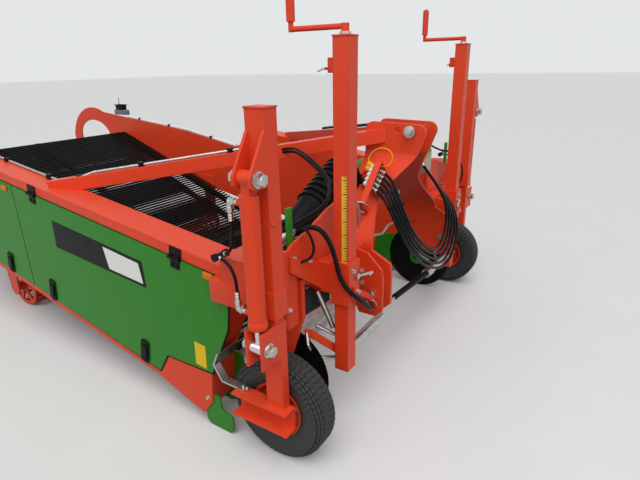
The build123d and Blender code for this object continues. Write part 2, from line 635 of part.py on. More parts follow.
def finder():
    """The cross tube at the post's foot, with the bent bar that trails from it."""
    inner_y = CRANK_Y - CRANK_SIZE / 2
    outer_y = CRANK_Y + CRANK_SIZE / 2
    tube_x = CRANK_X + FINDER_AHEAD
    tube = cross_rod(tube_x, FINDER_Z, FINDER_END, inner_y, FINDER_RADIUS)
    near, far = inner_y - FINDER_WIRE_IN[0], outer_y - FINDER_WIRE_IN[1]
    points = [(tube_x + x, y, FINDER_Z + z) for (x, z), y in zip(FINDER_BENDS, (near, near, far, far))]
    path = FilletPolyline(*points, radius=FINDER_BEND)
    wire = sweep(Plane(origin=points[0], z_dir=path % 0) * Circle(FINDER_WIRE), path=path)
    return tube + wire


def on_splay(along, rise):
    """(y, z) of a point at a distance along the left splayed plate and at a height above its face."""
    return MAST_Y + (along + rise) / sqrt(2), BELL_TOP + (rise - along) / sqrt(2)


def bell_section():
    """One plate seen from the front: mast, splay at 45 degrees, lower wall."""
    shift = BELL_SHEET * tan(radians(22.5))
    bend_z = BELL_TOP - (BELL_FOOT_Y - MAST_Y)
    low_z = LINK_NOSE[-1][1] - 1
    outer = [(MAST_Y, MAST_TOP[0] + 1), (MAST_Y, BELL_TOP), (BELL_FOOT_Y, bend_z), (BELL_FOOT_Y, low_z)]
    inner = [
        (MAST_Y - BELL_SHEET, MAST_TOP[0] + 1), (MAST_Y - BELL_SHEET, BELL_TOP - shift),
        (BELL_FOOT_Y - BELL_SHEET, bend_z - shift), (BELL_FOOT_Y - BELL_SHEET, low_z),
    ]
    wide, narrow = BELL_BEND + BELL_SHEET, BELL_BEND
    lines = [
        FilletPolyline(*[(0, y, z) for y, z in outer], radius=[narrow, wide]),
        FilletPolyline(*[(0, y, z) for y, z in inner], radius=[wide, narrow]),
    ]
    ends = [Line((0, *outer[i]), (0, *inner[i])) for i in (0, -1)]
    return make_face([edge for line in lines for edge in line.edges()] + ends)


def bell_outline():
    """The same plate seen from the side, with its hollow front edge and the nose of the lower link point."""
    rear_top, front_top = MAST_TOP
    front = Spline(*[(x, 0, z) for x, z in BELL_FRONT])
    start, end = (MAST_NOSE_X, 0, front_top), (BELL_FRONT[0][0], 0, BELL_FRONT[0][1])
    top = FilletPolyline((BELL_REAR, 0, BELL_TOP), (BELL_REAR, 0, rear_top), start, end, radius=MAST_ROUND)
    foot = [BELL_FRONT[-1]] + LINK_NOSE + WALL_REAR + [(BELL_REAR, BELL_TOP)]
    under = Polyline(*[(x, 0, z) for x, z in foot])
    return make_face(top.edges() + [front] + under.edges())


def bell_half():
    section = extrude(Pos(BELL_REAR - 1, 0, 0) * bell_section(), amount=MAST_NOSE_X - BELL_REAR + 2, dir=(1, 0, 0))
    half = section & extrude(bell_outline(), amount=BELL_FOOT_Y + 1, dir=(0, 1, 0))
    for x, z in (MAST_PIN, MAST_HOLE):
        half -= cross_rod(x, z, 0, MAST_Y + 1, MAST_PIN_RADIUS + RUN)
    return half - cross_rod(*LINK_PIN, 0, BELL_FOOT_Y + 1, LINK_PIN_RADIUS + RUN)


def hose_holder():
    """The strap that presses the hose couplers on the right splayed plate."""
    near, far = HOLDER_REACH
    rise, thick = HOLDER_RISE, HOLDER_SHEET
    outline = [
        (near, -1), (near, rise - 6), (near + 6, rise), (far - 6, rise), (far, rise - 6), (far, -1),
        (far - thick, -1), (far - thick, rise - thick), (near + thick, rise - thick), (near + thick, -1),
    ]
    points = [on_splay(along, up) for along, up in outline]
    strap = extrude(front_face(points, HOLDER_X[0]), amount=HOLDER_X[1] - HOLDER_X[0], dir=(1, 0, 0))
    return to_side(strap, RIGHT)


def headstock():
    """Both bent plates, the plate between them that carries the gearbox, and the hoses' strap."""
    thick, low_z = BRIDGE
    inner_y = MAST_Y - BELL_SHEET
    step = BELL_SHEET * tan(radians(22.5))
    splay_z = BELL_TOP - step
    wide_y = inner_y + splay_z - low_z
    half = [(0, BELL_TOP + BELL_SHEET), (inner_y, BELL_TOP + BELL_SHEET), (inner_y, splay_z), (wide_y, low_z)]
    outline = half + [(-y, z) for y, z in reversed(half[1:])]
    bell = extrude(front_face(outline, BELL_REAR), amount=thick, dir=(1, 0, 0))
    for plate in pair(bell_half()):
        bell += plate
    start, end = Vector(*GUARD_START), Vector(*GUARD_END)
    bell -= rod(start - (end - start) * 0.02, end, GUARD_RADII[0] + GUARD_ROOM)
    return bell + hose_holder()


def link_plate():
    """The outer plate of one lower link point, on the front of the beam."""
    y0 = LINK_PIN_Y + LINK_GAP / 2
    plate = side_prism(LINK_REAR + LINK_NOSE, y0, y0 + LINK_PLATE)
    return plate - cross_rod(*LINK_PIN, y0 - 1, y0 + LINK_PLATE + 1, LINK_PIN_RADIUS + RUN)


def link_pin():
    pin_x, pin_z = LINK_PIN
    outer_y = LINK_PIN_Y + LINK_GAP / 2 + LINK_PLATE
    inner_y = BELL_FOOT_Y - BELL_SHEET - LINK_PIN_OVER
    pin = cross_rod(pin_x, pin_z, inner_y, outer_y + LINK_PIN_OVER, LINK_PIN_RADIUS)
    return pin + cross_rod(pin_x, pin_z, outer_y + SEAT, outer_y + 10, LINK_PIN_RADIUS + 8)


def top_pin():
    """The pin of the top link with a collar outside each mast plate."""
    x, z = MAST_PIN
    radius, length = MAST_COLLAR
    pin = cross_rod(x, z, -MAST_PIN_END, MAST_PIN_END, MAST_PIN_RADIUS)
    for collar in pair(cross_rod(x, z, MAST_Y + SEAT, MAST_Y + SEAT + length, radius)):
        pin += collar
    return pin


# Hydraulics


def hose_route(number):
    """The points of one of the hanging hoses, between the outermost and the innermost one."""
    share = number / (HOSE_COUNT - 1)
    return [Vector(*a) + (Vector(*b) - Vector(*a)) * share for a, b in zip(OUTER_HOSE, INNER_HOSE)]


def bend_radii(points):
    """The largest arc that the two runs beside each inner point allow."""
    radii = []
    for a, b, c in zip(points, points[1:], points[2:]):
        turn = (b - a).get_angle(c - b)
        radii.append(0.45 * min((b - a).length, (c - b).length) / tan(radians(turn / 2)))
    return radii


def hose(name, points, radius):
    points = [Vector(*point) for point in points]
    radii = bend_radii(points)
    path = FilletPolyline(*points, radius=radii)
    tube = sweep(Plane(origin=points[0], z_dir=points[1] - points[0]) * Circle(radius), path=path)
    print(name, "radii", [round(r) for r in radii], "length", round(path.length))
    return tube


def hose_couplers():
    """The couplers on the right splayed plate and the ferrules at the valve block."""
    pieces = []
    for number in range(HOSE_COUNT):
        points = hose_route(number)
        for end, beside, (radius, length) in ((points[0], points[1], COUPLER), (points[-1], points[-2], FERRULE)):
            away = (end - beside).normalized()
            pieces.append(rod(end, end + away * length, radius))
    return pieces


def cylinder_fittings():
    """The elbows at a cylinder's ports and the block on the bracket that both hoses end in."""
    x0, x1, width, z0, z1 = HOSE_BLOCK
    block = box(x0, x1, BRACKET_OUT_Y, BRACKET_OUT_Y + width, z0, z1)
    port_x = POST_X - CYL_RADIUS - PORT_END
    elbows = []
    for route, port_z in ((UPPER_HOSE, PORTS_Z[1]), (LOWER_HOSE, PORTS_Z[0])):
        start, end, before = Vector(*route[0]), Vector(*route[-1]), Vector(*route[-2])
        corner = (start.X, start.Y, port_z)
        elbow = rod((port_x, start.Y, port_z), corner, ELBOW_RADIUS) + rod(start, corner, ELBOW_RADIUS)
        elbows.append(elbow + Pos(*corner) * Sphere(ELBOW_RADIUS))
        block += rod(end, end + (end - before).normalized() * width / 2, ELBOW_RADIUS - 1)
    return elbows + [block]


def valve_block(bell):
    """The block on the left splayed plate that the hoses start from."""
    block = box(*VALVE_BLOCK)
    above = [on_splay(along, rise) for along, rise in ((0, 0), (430, 0), (430, 300), (0, 300))]
    block &= extrude(front_face(above, VALVE_BLOCK[0]), amount=VALVE_BLOCK[1] - VALVE_BLOCK[0], dir=(1, 0, 0))
    return block - bell


def sensor_box():
    x0, x1, y0, y1, top = SENSOR_BOX
    case = box(x0, x1, y0, y1, VALVE_BLOCK[5], top)
    return fillet(case.edges().filter_by(Axis.Z), 8)


def brace():
    """The bar from the side frame's ledge up to the mast plate."""
    foot = Vector(BRACE_FOOT_X, CHANNEL_Y + 40, ledge_z(BRACE_FOOT_X) + 8)
    head = Vector(*BRACE_HEAD)
    plane = Plane(origin=foot, z_dir=head - foot, x_dir=(head - foot).cross(Vector(0, 0, 1)))
    bar = plane * Box(*BRACE_SIZE, (head - foot).length + 2 * BRACE_OVER)
    bar = Pos((head - foot) * 0.5) * bar
    bar -= side_prism(cover_outline("left"), CHANNEL_Y - 200, COVER_Y)
    return bar & box(REAR_TIP[0], AXLE_Z, MAST_Y, COVER_Y, 0, CRANK_GRIP_TOP)


# Drive


def gearbox():
    x0, x1, y0, y1, z0, z1 = GEARBOX
    case = box(x0, x1, y0, y1, z0, z1)
    case = fillet(case.edges().filter_by(Axis.Y), 34)
    radius, length = FLANGE
    return case + rod((x1 - 4, 0, PTO_Z), (x1 + length, 0, PTO_Z), radius)


def pto_stub():
    return rod((GEARBOX[1] + FLANGE[1] + SEAT, 0, PTO_Z), (PTO_END_X, 0, PTO_Z), PTO_RADIUS)


def drive_guard():
    """The ribbed guard of the side drive's shaft, which narrows towards the right side."""
    start, end = Vector(*GUARD_START), Vector(*GUARD_END)
    length = (end - start).length
    wide, narrow = GUARD_RADII
    ribbed = length * 0.68
    points = [(0, 0), (wide - 10, 0)]
    for i in range(GUARD_RIBS):
        z = ribbed * (i + 0.25) / GUARD_RIBS
        r = wide - i * 2.4
        points += [(r, z), (r, z + ribbed * 0.5 / GUARD_RIBS), (r - 10, z + ribbed * 0.6 / GUARD_RIBS)]
    points += [(narrow + 16, ribbed + 8), (narrow, length), (0, length)]
    profile = make_face(Polyline([(r, 0, z) for r, z in points], close=True))
    turned = revolve(profile, axis=Axis.Z)
    return Plane(origin=start, z_dir=end - start) * turned


def side_shaft():
    """The tube from the guard's end to the right side plate."""
    start, end = Vector(*GUARD_START), Vector(*GUARD_END)
    direction = (end - start).normalized()
    reach = (CHANNEL_Y + end.Y) / -direction.Y + 30
    shaft = rod(end + direction * SEAT, end + direction * reach, SIDE_SHAFT_RADIUS)
    return shaft & box(REAR_TIP[0], AXLE_Z, -CHANNEL_Y, CHANNEL_Y, 0, CRANK_GRIP_TOP)


# Web, rollers and ground tools


def web_wire(radius):
    """The web's closed path at one distance from the line through its shafts."""
    front, kink, top = (Vector(x, 0, z) for x, z in WEB_PATH)
    low, high = (kink - front).normalized(), (top - kink).normalized()
    up_low, up_high = Vector(low.Z, 0, -low.X), Vector(high.Z, 0, -high.X)
    mitre = (up_low + up_high) * (radius / (1 + up_low.dot(up_high)))
    return Wire([
        Line(front + up_low * radius, kink + mitre),
        Line(kink + mitre, top + up_high * radius),
        ThreePointArc(top + up_high * radius, top + high * radius, top - up_high * radius),
        Line(top - up_high * radius, kink - mitre),
        Line(kink - mitre, front - up_low * radius),
        ThreePointArc(front - up_low * radius, front - low * radius, front + up_low * radius),
    ])


def web_belts():
    """The belts of the web, each a closed loop round the rollers."""
    ring = make_face(web_wire(WEB_DRUM + BELT_THICK)) - make_face(web_wire(WEB_DRUM))
    half = BELT_WIDTH / 2
    return [extrude(Pos(0, y - half, 0) * ring, amount=BELT_WIDTH, dir=(0, 1, 0)) for y in BELT_PLACES]


def web_bars():
    """The cross bars that lie on the belts."""
    path = web_wire(WEB_DRUM + BELT_THICK + SEAT + BAR / 2)
    count = round(path.length / WEB_PITCH)
    bars = []
    for i in range(count):
        point = path.position_at(i / count)
        along = path.tangent_at(i / count)
        plane = Plane(origin=point, z_dir=(0, 1, 0), x_dir=along)
        bars.append(plane * Box(BAR, BAR, 2 * WEB_Y))
    return bars


def web_roller(x, z):
    """A shaft with a sprocket under each belt."""
    roller = cross_rod(x, z, -CHANNEL_Y - SHEET, CHANNEL_Y + SHEET, ROLLER_SHAFT)
    for y in BELT_PLACES:
        roller += cross_rod(x, z, y - SPROCKET_WIDTH / 2, y + SPROCKET_WIDTH / 2, WEB_DRUM - SEAT)
    return roller


def lifting_shaft():
    """The square shaft in front of the web, which turns against the travel."""
    x, z, side = LIFT_SHAFT
    inner = CHANNEL_Y - CHEEK - 4
    shaft = box(x - side / 2, x + side / 2, -inner, inner, z - side / 2, z + side / 2)
    return shaft + cross_rod(x, z, -CHANNEL_Y - SHEET, CHANNEL_Y + SHEET, LIFT_END)


def cheek():
    """The plate inside the toe of the side plate, which is the shaft's bearing."""
    x, z, _ = LIFT_SHAFT
    plate = side_prism(CHEEK_OUTLINE, CHANNEL_Y - CHEEK, CHANNEL_Y)
    plate = fillet(plate.edges().filter_by(Axis.Y), 24)
    return plate - cross_rod(x, z, CHANNEL_Y - CHEEK - 1, CHANNEL_Y + 1, LIFT_END + RUN)


def cage_roller():
    """The roller of round bars that carries the rear of the machine."""
    x, z, radius = CAGE
    thick, deep = CAGE_RING
    wheel = Circle(radius) - Circle(radius - deep)
    for angle in (0, 60, 120):
        wheel += Rot(0, 0, angle) * Rectangle(2 * radius - deep, CAGE_SPOKE)
    wheel -= Circle(CAGE_SHAFT)
    turns = [360 * (i + 0.5) / CAGE_BARS for i in range(CAGE_BARS)]
    bars = [Rot(0, 0, turn) * Pos(radius - deep / 2, 0) * Circle(CAGE_BAR) for turn in turns]
    roller = extrude(Circle(CAGE_SHAFT), amount=2 * CHANNEL_Y)
    roller = Pos(0, 0, -CHANNEL_Y) * roller
    for bar in bars:
        roller += Pos(0, 0, -CAGE_Y) * extrude(bar, amount=2 * CAGE_Y)
    for y in (-CAGE_Y, -thick / 2, CAGE_Y - thick):
        roller += Pos(0, 0, y) * extrude(wheel, amount=thick)
    return Pos(x, 0, z) * Rot(-90, 0, 0) * roller


def cage_arm():
    """The plate that hangs the cage roller's bearing from the side plate."""
    x, z, _ = CAGE
    hub = CAGE_SHAFT + CAGE_HUB
    top_z = skirt_z(x) + CAGE_ARM_RISE
    y0, y1 = CHANNEL_Y - CAGE_ARM, CHANNEL_Y
    wide = hub + CAGE_ARM_FLARE
    arm = side_prism([(x - hub, z), (x + hub, z), (x + wide, top_z), (x - wide, top_z)], y0, y1)
    arm += cross_rod(x, z, y0, y1, hub)
    return arm - cross_rod(x, z, y0 - 1, y1 + 1, CAGE_SHAFT + RUN)


def disc_coulter():
    x, z, radius = DISC
    plate = cross_rod(x, z, DISC_Y - DISC_THICK / 2, DISC_Y + DISC_THICK / 2, radius)
    plate = chamfer(plate.edges().filter_by(GeomType.CIRCLE), DISC_THICK / 2 - 1, 20)
    return plate - cross_rod(x, z, DISC_Y - DISC_THICK, DISC_Y + DISC_THICK, DISC_HUB[0])


def disc_hub():
    x, z, _ = DISC
    hub_radius, hub_half = DISC_HUB
    hub = cross_rod(x, z, DISC_Y - hub_half, DISC_Y + hub_half, hub_radius - SEAT)
    return hub - cross_rod(x, z, DISC_Y - hub_half + 12, DISC_Y + hub_half + 1, DISC_AXLE + RUN)


def disc_arm():
    """The arm from the beam down to a coulter's axle."""
    x, z, _ = DISC
    y0, y1 = DISC_ARM_Y
    top_z = between((y0 + y1) / 2, RISER[0], RISER[3])
    high_x = RISER_X[1] - 10
    outline = [(x - 30, z), (x + 30, z), (high_x, BEAM_Z[0] - 60), (high_x, top_z), (RISER_X[0] + 4, top_z)]
    arm = side_prism(outline, y0, y1)
    arm -= extrude(front_face(RISER, RISER_X[0] - 1), amount=RISER_X[1] - RISER_X[0] + 2, dir=(1, 0, 0))
    arm += cross_rod(x, z, y0, y1, 30)
    return arm + cross_rod(x, z, DISC_Y - DISC_HUB[1] + 16, y0 + 1, DISC_AXLE)


def main():
    os.makedirs("parts", exist_ok=True)
    save("side_plates", [to_side(side_plate(name), side) for name, side in SIDES.items()])
    save("cover_frames", [to_side(cover_frame(name), side) for name, side in SIDES.items()])
    hinges = []
    for name, side in SIDES.items():
        for door_name, face in door_faces(name).items():
            save(door_name, to_side(door(door_name, face), side))
            hinges += [to_side(hinge(x), side) for x in DOOR_HINGES[door_name]]
    save("door_hinges", hinges)

    bell = headstock()
    save("main_beam", main_beam())
    save("depth_posts", pair(depth_post()))
    save("cylinder_barrels", pair(cylinder_barrel()))
    save("headstock", bell)
    save("link_plates", pair(link_plate()))
    save("linkage_pins", [top_pin()] + pair(link_pin()))
    save("valve_block", valve_block(bell))
    save("sensor_box", sensor_box())
    save("hose_couplers", hose_couplers())
    for number in range(HOSE_COUNT):
        name = f"hose_{number + 1}"
        save(name, hose(name, hose_route(number), HOSE_RADIUS))
    for place, route in (("upper", UPPER_HOSE), ("lower", LOWER_HOSE)):
        cylinder_hose = hose(f"{place} cylinder hose", route, CYLINDER_HOSE_RADIUS)
        for name, side in SIDES.items():
            save(f"{name}_{place}_hose", to_side(cylinder_hose, side))
    save("hose_fittings", pair_all(cylinder_fittings()))
    save("braces", pair(brace()))
    save("gearbox", gearbox())
    save("pto_stub", pto_stub())
    save("drive_guard", drive_guard())
    save("side_shaft", side_shaft())
    save("disc_arms", pair(disc_arm()))
    save("cheeks", pair(cheek()))
    save("web_belts", web_belts())
    save("web_bars", web_bars())
    save("web_rollers", [web_roller(x, z) for x, z in WEB_PATH])
    save("cage_arms", pair(cage_arm()))

    save("lifting_shaft", lifting_shaft())
    save("cage_roller", cage_roller())
    pieces = {
        "leg": leg(),
        "cylinder_rod": cylinder_rod(),
        "scraper": scraper(),
        "rim": rim(),
        "tyre": tyre(),
        "crank_post": crank_post(),
        "crank": crank(),
        "finder": finder(),
        "disc": disc_coulter(),
        "disc_hub": disc_hub(),
    }
    for name, side in SIDES.items():
        for piece, shape in pieces.items():
            save(f"{name}_{piece}", to_side(shape, side))


if __name__ == "__main__":
    main()
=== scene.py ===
"""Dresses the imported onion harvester: finishes, tyres, hoses, fasteners, stage and camera.

The frame is in metres, X forward, Y to the machine's left, Z up. Places are written as in the part's
drawing, in millimetres from the depth wheels' axle line, and mm() puts them in the frame.
"""
from math import cos, pi, radians, sin, tan

import bmesh
import bpy
from mathutils import Matrix, Vector


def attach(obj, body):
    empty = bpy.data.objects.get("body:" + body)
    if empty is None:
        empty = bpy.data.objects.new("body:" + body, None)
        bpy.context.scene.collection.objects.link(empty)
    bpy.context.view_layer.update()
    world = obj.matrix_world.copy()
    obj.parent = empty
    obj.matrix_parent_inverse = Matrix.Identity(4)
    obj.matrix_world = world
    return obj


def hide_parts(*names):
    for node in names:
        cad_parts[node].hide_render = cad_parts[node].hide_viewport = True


bl_info = {
    "name": "Onion Harvester",
    "version": (1, 0, 0),
    "blender": (4, 5, 0),
    "location": "View3D > Sidebar > Harvester",
    "description": "Finishes and small parts for an onion harvester",
    "category": "Add Mesh",
}

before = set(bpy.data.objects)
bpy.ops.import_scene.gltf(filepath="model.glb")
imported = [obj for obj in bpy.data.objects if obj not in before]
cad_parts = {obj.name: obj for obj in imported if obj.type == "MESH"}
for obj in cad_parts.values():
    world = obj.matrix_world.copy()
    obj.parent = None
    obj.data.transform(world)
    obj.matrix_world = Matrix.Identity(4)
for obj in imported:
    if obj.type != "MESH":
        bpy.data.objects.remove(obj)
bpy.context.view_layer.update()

AHEAD, LEFT, UP = Vector((1, 0, 0)), Vector((0, 1, 0)), Vector((0, 0, 1))

# The drawing has its zero this far ahead of the frame's
AXLE_X = 1.89425

SIDES = {"right": -1, "left": 1}
FLATS_M8, FLATS_WHEEL, FLATS_M12 = 13.0, 15.0, 19.0     # across the flats of the bolts' heads
COVER_Y = 970.0          # outer face of the covers and doors
LEDGE = (713.0, 7.4)     # height of the side frame's top at X = 0, and its rise rearwards in degrees
SKIRT = (-620.0, 140.0, 10.6)     # X and height of the skirt's kink, and its rise
BRACE_FOOT = (-1230, 880, 881)
BRACE_HEAD = (-32, 66, 1075)
BRACE_RISE = 30.5        # brace's top above its centre line
AXLE_Z = 201.5
WHEEL_Y = 900.0
POST_X = 45.0
CYLINDER_Y = 1062.0
CRANK_X, CRANK_Y, CRANK_HALF = 97.0, 612.0, 30.0
MAST_Y = 75.0
TOP_PIN = (111, 1100)
LINK_PIN = (135, 490)
LINK_OUT_Y = 457.0
WEB_PATH = [(-600, 112), (-1540, 171), (-3115, 733)]
WEB_RADIUS = 76.8        # bars' centre line round the shafts
HOSE_COUNT = 5
HOSE_RADIUS, CYLINDER_HOSE_RADIUS = 7.0, 5.5
HOSE_GATHER = 0.026      # how far the ties draw the outer hoses in, in metres
TIE_RADIUS, TIE_WIDTH, TIE_THICKNESS = 0.0082, 0.007, 0.0014

# Hose routes, as in the part's drawing
OUTER_HOSE = [
    (20, -238, 872), (75, -265, 858), (122, -298, 810), (158, -300, 730), (182, -248, 630), (190, -150, 535),
    (190, -25, 455), (190, 110, 392), (190, 245, 348), (190, 355, 342), (190, 440, 378), (190, 485, 455),
    (190, 478, 550), (182, 420, 640), (160, 350, 715), (130, 300, 768), (98, 285, 815), (60, 300, 855),
]
INNER_HOSE = [
    (20, -165, 935), (72, -186, 921), (120, -212, 880), (158, -225, 818), (182, -200, 748), (190, -150, 685),
    (190, -75, 625), (190, 0, 575), (190, 75, 535), (190, 145, 520), (190, 205, 545), (190, 235, 600),
    (190, 238, 665), (182, 225, 728), (160, 212, 785), (130, 200, 835), (98, 190, 880), (60, 190, 925),
]
HOSE_LENGTHS = (1.692, 1.560, 1.430, 1.305, 1.185)
UPPER_HOSE = [
    (-31, 1062, 978), (-31, 1062, 936), (-38, 1056, 894), (-54, 1046, 858), (-80, 1034, 832),
    (-112, 1022, 816),
]
LOWER_HOSE = [
    (-31, 1062, 694), (-31, 1062, 736), (-38, 1060, 768), (-56, 1056, 794), (-84, 1050, 808),
    (-116, 1044, 810),
]


def mm(x, y, z):
    """A point of the drawing in the frame."""
    return Vector((x / 1000 + AXLE_X, y / 1000, z / 1000))


def mirrored(places, sign):
    """Places of the left side in drawing mm, on the side that the sign gives."""
    return [(x, sign * y, z) for x, y, z in places]


def ledge_z(x):
    return LEDGE[0] - x * tan(radians(LEDGE[1]))


def skirt_z(x):
    return SKIRT[1] + (SKIRT[0] - x) * tan(radians(SKIRT[2]))


def on_brace(sign, share, rise=0.0):
    """A point above a brace's top, at a share of its length from its foot, in mm."""
    x, y, z = (a + (b - a) * share for a, b in zip(BRACE_FOOT, BRACE_HEAD))
    return x, sign * y, z + BRACE_RISE + rise


# Materials


def linear(hex_colour):
    """An sRGB hex colour as the linear RGBA that a socket takes."""
    digits = hex_colour.lstrip("#")
    channels = [int(digits[i:i + 2], 16) / 255 for i in (0, 2, 4)]
    return tuple(c / 12.92 if c <= 0.04045 else ((c + 0.055) / 1.055) ** 2.4 for c in channels) + (1.0,)


def shaded(colour, share):
    """A linear colour at a share of its brightness."""
    return [channel * share for channel in colour[:3]] + [1.0]


def add_node(material, kind, inputs=None, **settings):
    """Adds one shader node, with its settings and its inputs as values or as another node's output."""
    made = material.node_tree.nodes.new(kind)
    for name, value in settings.items():
        setattr(made, name, value)
    for socket, value in (inputs or {}).items():
        if isinstance(value, bpy.types.NodeSocket):
            material.node_tree.links.new(value, made.inputs[socket])
        else:
            made.inputs[socket].default_value = value
    return made


def new_material(name):
    """An empty node material and the object coordinates to build on."""
    material = bpy.data.materials.new(name)
    material.use_nodes = True
    material.node_tree.nodes.clear()
    return material, add_node(material, "ShaderNodeTexCoord").outputs["Object"]


def close_material(material, **inputs):
    sockets = {name.replace("_", " "): value for name, value in inputs.items()}
    shader = add_node(material, "ShaderNodeBsdfPrincipled", sockets)
    add_node(material, "ShaderNodeOutputMaterial", {"Surface": shader.outputs[0]})
    return material


def noise(material, place, scale, detail=4.0, roughness=0.5):
    made = add_node(material, "ShaderNodeTexNoise", {
        "Vector": place, "Scale": scale, "Detail": detail, "Roughness": roughness})
    return made.outputs["Fac"]


def blend_colours(material, share, first, second):
    return add_node(material, "ShaderNodeMix", {0: share, 6: first, 7: second}, data_type="RGBA").outputs[2]


def remap(material, value, low, high, to_low, to_high):
    return add_node(material, "ShaderNodeMapRange", {
        "Value": value, "From Min": low, "From Max": high, "To Min": to_low, "To Max": to_high}).outputs[0]


def calculate(owner, operation, first, second=0.5):
    return add_node(owner, "ShaderNodeMath", {0: first, 1: second}, operation=operation).outputs[0]


def bumped(material, height, strength, distance, corner):
    """A bump's normal on corners that are rounded to a radius in metres."""
    corners = add_node(material, "ShaderNodeBevel", {"Radius": corner}, samples=4).outputs[0]
    return add_node(material, "ShaderNodeBump", {
        "Height": height, "Strength": strength, "Distance": distance, "Normal": corners}).outputs[0]


def seen_by_camera(owner):
    """1 where the camera or a reflection looks, 0 where light bounces."""
    path = add_node(owner, "ShaderNodeLightPath")
    seen = path.outputs["Is Camera Ray"]
    for kind in ("Is Glossy Ray", "Is Transmission Ray"):
        seen = calculate(owner, "MAXIMUM", seen, path.outputs[kind])
    return seen


def powder_coat(name, paint, dust="#9C8A70"):
    """An even gloss with orange peel, softly rounded edges, and road dust on what faces up."""
    colour = getattr(bpy.context.scene.harvester_colours, paint)
    material, place = new_material(name)
    # Sheets differ a little in tone over half a metre
    tone = blend_colours(material, noise(material, place, 2.4), shaded(colour, 0.88), list(colour))
    # Dust gathers in 40 mm patches on ledges
    patches = noise(material, place, 25.0, 6.0, 0.65)
    normal = add_node(material, "ShaderNodeNewGeometry").outputs["Normal"]
    upward = add_node(material, "ShaderNodeSeparateXYZ", {"Vector": normal}).outputs["Z"]
    lying = remap(material, upward, 0.2, 1.0, 0.0, 0.5)
    fallen = calculate(material, "MULTIPLY", patches, lying)
    colour_mix = blend_colours(material, remap(material, fallen, 0.18, 0.42, 0.0, 0.14), tone, linear(dust))
    # Orange peel is about 1 mm across and is drawn at 3 mm, so that it shows
    peel = noise(material, place, 330.0, 2.0)
    # Folded sheet and square tube have corners of about 4 mm
    return close_material(
        material, Base_Color=colour_mix, Roughness=remap(material, patches, 0.0, 1.0, 0.32, 0.50),
        Normal=bumped(material, peel, 0.05, 0.001, 0.004), Specular_IOR_Level=0.3)


def bright_metal(name, low, high, rough, cell_mm=7.0):
    """Plated or chromed steel: a grey metal with a faint spangle and duller spots."""
    material, place = new_material(name)
    spangle = add_node(material, "ShaderNodeTexVoronoi", {"Vector": place, "Scale": 1000.0 / cell_mm})
    cloud = noise(material, place, 45.0, 5.0)
    return close_material(
        material, Base_Color=blend_colours(material, cloud, linear(low), linear(high)), Metallic=1.0,
        Roughness=remap(material, cloud, 0.2, 0.8, rough - 0.08, rough + 0.14),
        Normal=bumped(material, spangle.outputs["Distance"], 0.06, 0.0005, 0.0012))


def dull_material(name, low, high, grain_mm, rough, depth, edge_mm=1.5):
    """Rubber, moulded plastic or enamel: two near tones in a fine grain, worn duller in places."""
    material, place = new_material(name)
    wear = noise(material, place, 18.0, 6.0, 0.7)
    grain = noise(material, place, 1000.0 / grain_mm, 3.0)
    return close_material(
        material, Base_Color=blend_colours(material, wear, linear(low), linear(high)),
        Roughness=remap(material, wear, 0.2, 0.8, rough - 0.1, rough + 0.1),
        Normal=bumped(material, grain, depth, 0.001, edge_mm / 1000), Specular_IOR_Level=0.1)


def ruler_lines(material, parts, from_x, step, thick):
    """1 on the scale's lines: one every step up the post, from a place across it, in metres."""
    part = calculate(material, "FRACT", calculate(material, "DIVIDE", parts["Z"], step))
    line = calculate(material, "LESS_THAN", part, thick / step)
    return calculate(material, "MULTIPLY", line, calculate(material, "GREATER_THAN", parts["X"], from_x))


def ruler_enamel(name):
    """Yellow scale plate with a short line every 10 mm up the post and a longer one every 50 mm."""
    material, place = new_material(name)
    parts = add_node(material, "ShaderNodeSeparateXYZ", {"Vector": place}).outputs
    # Its lines are 0.5 mm thick and are drawn at 3 and 4 mm, so that they show
    short = ruler_lines(material, parts, AXLE_X + 0.113, 0.010, 0.003)
    long = ruler_lines(material, parts, AXLE_X + 0.107, 0.050, 0.004)
    either = calculate(material, "MAXIMUM", short, long)
    wear = blend_colours(material, noise(material, place, 60.0), linear("#D9B233"), linear("#E9C544"))
    colour = blend_colours(material, either, wear, linear("#3A3420"))
    return close_material(material, Base_Color=colour, Roughness=0.45, Specular_IOR_Level=0.3)


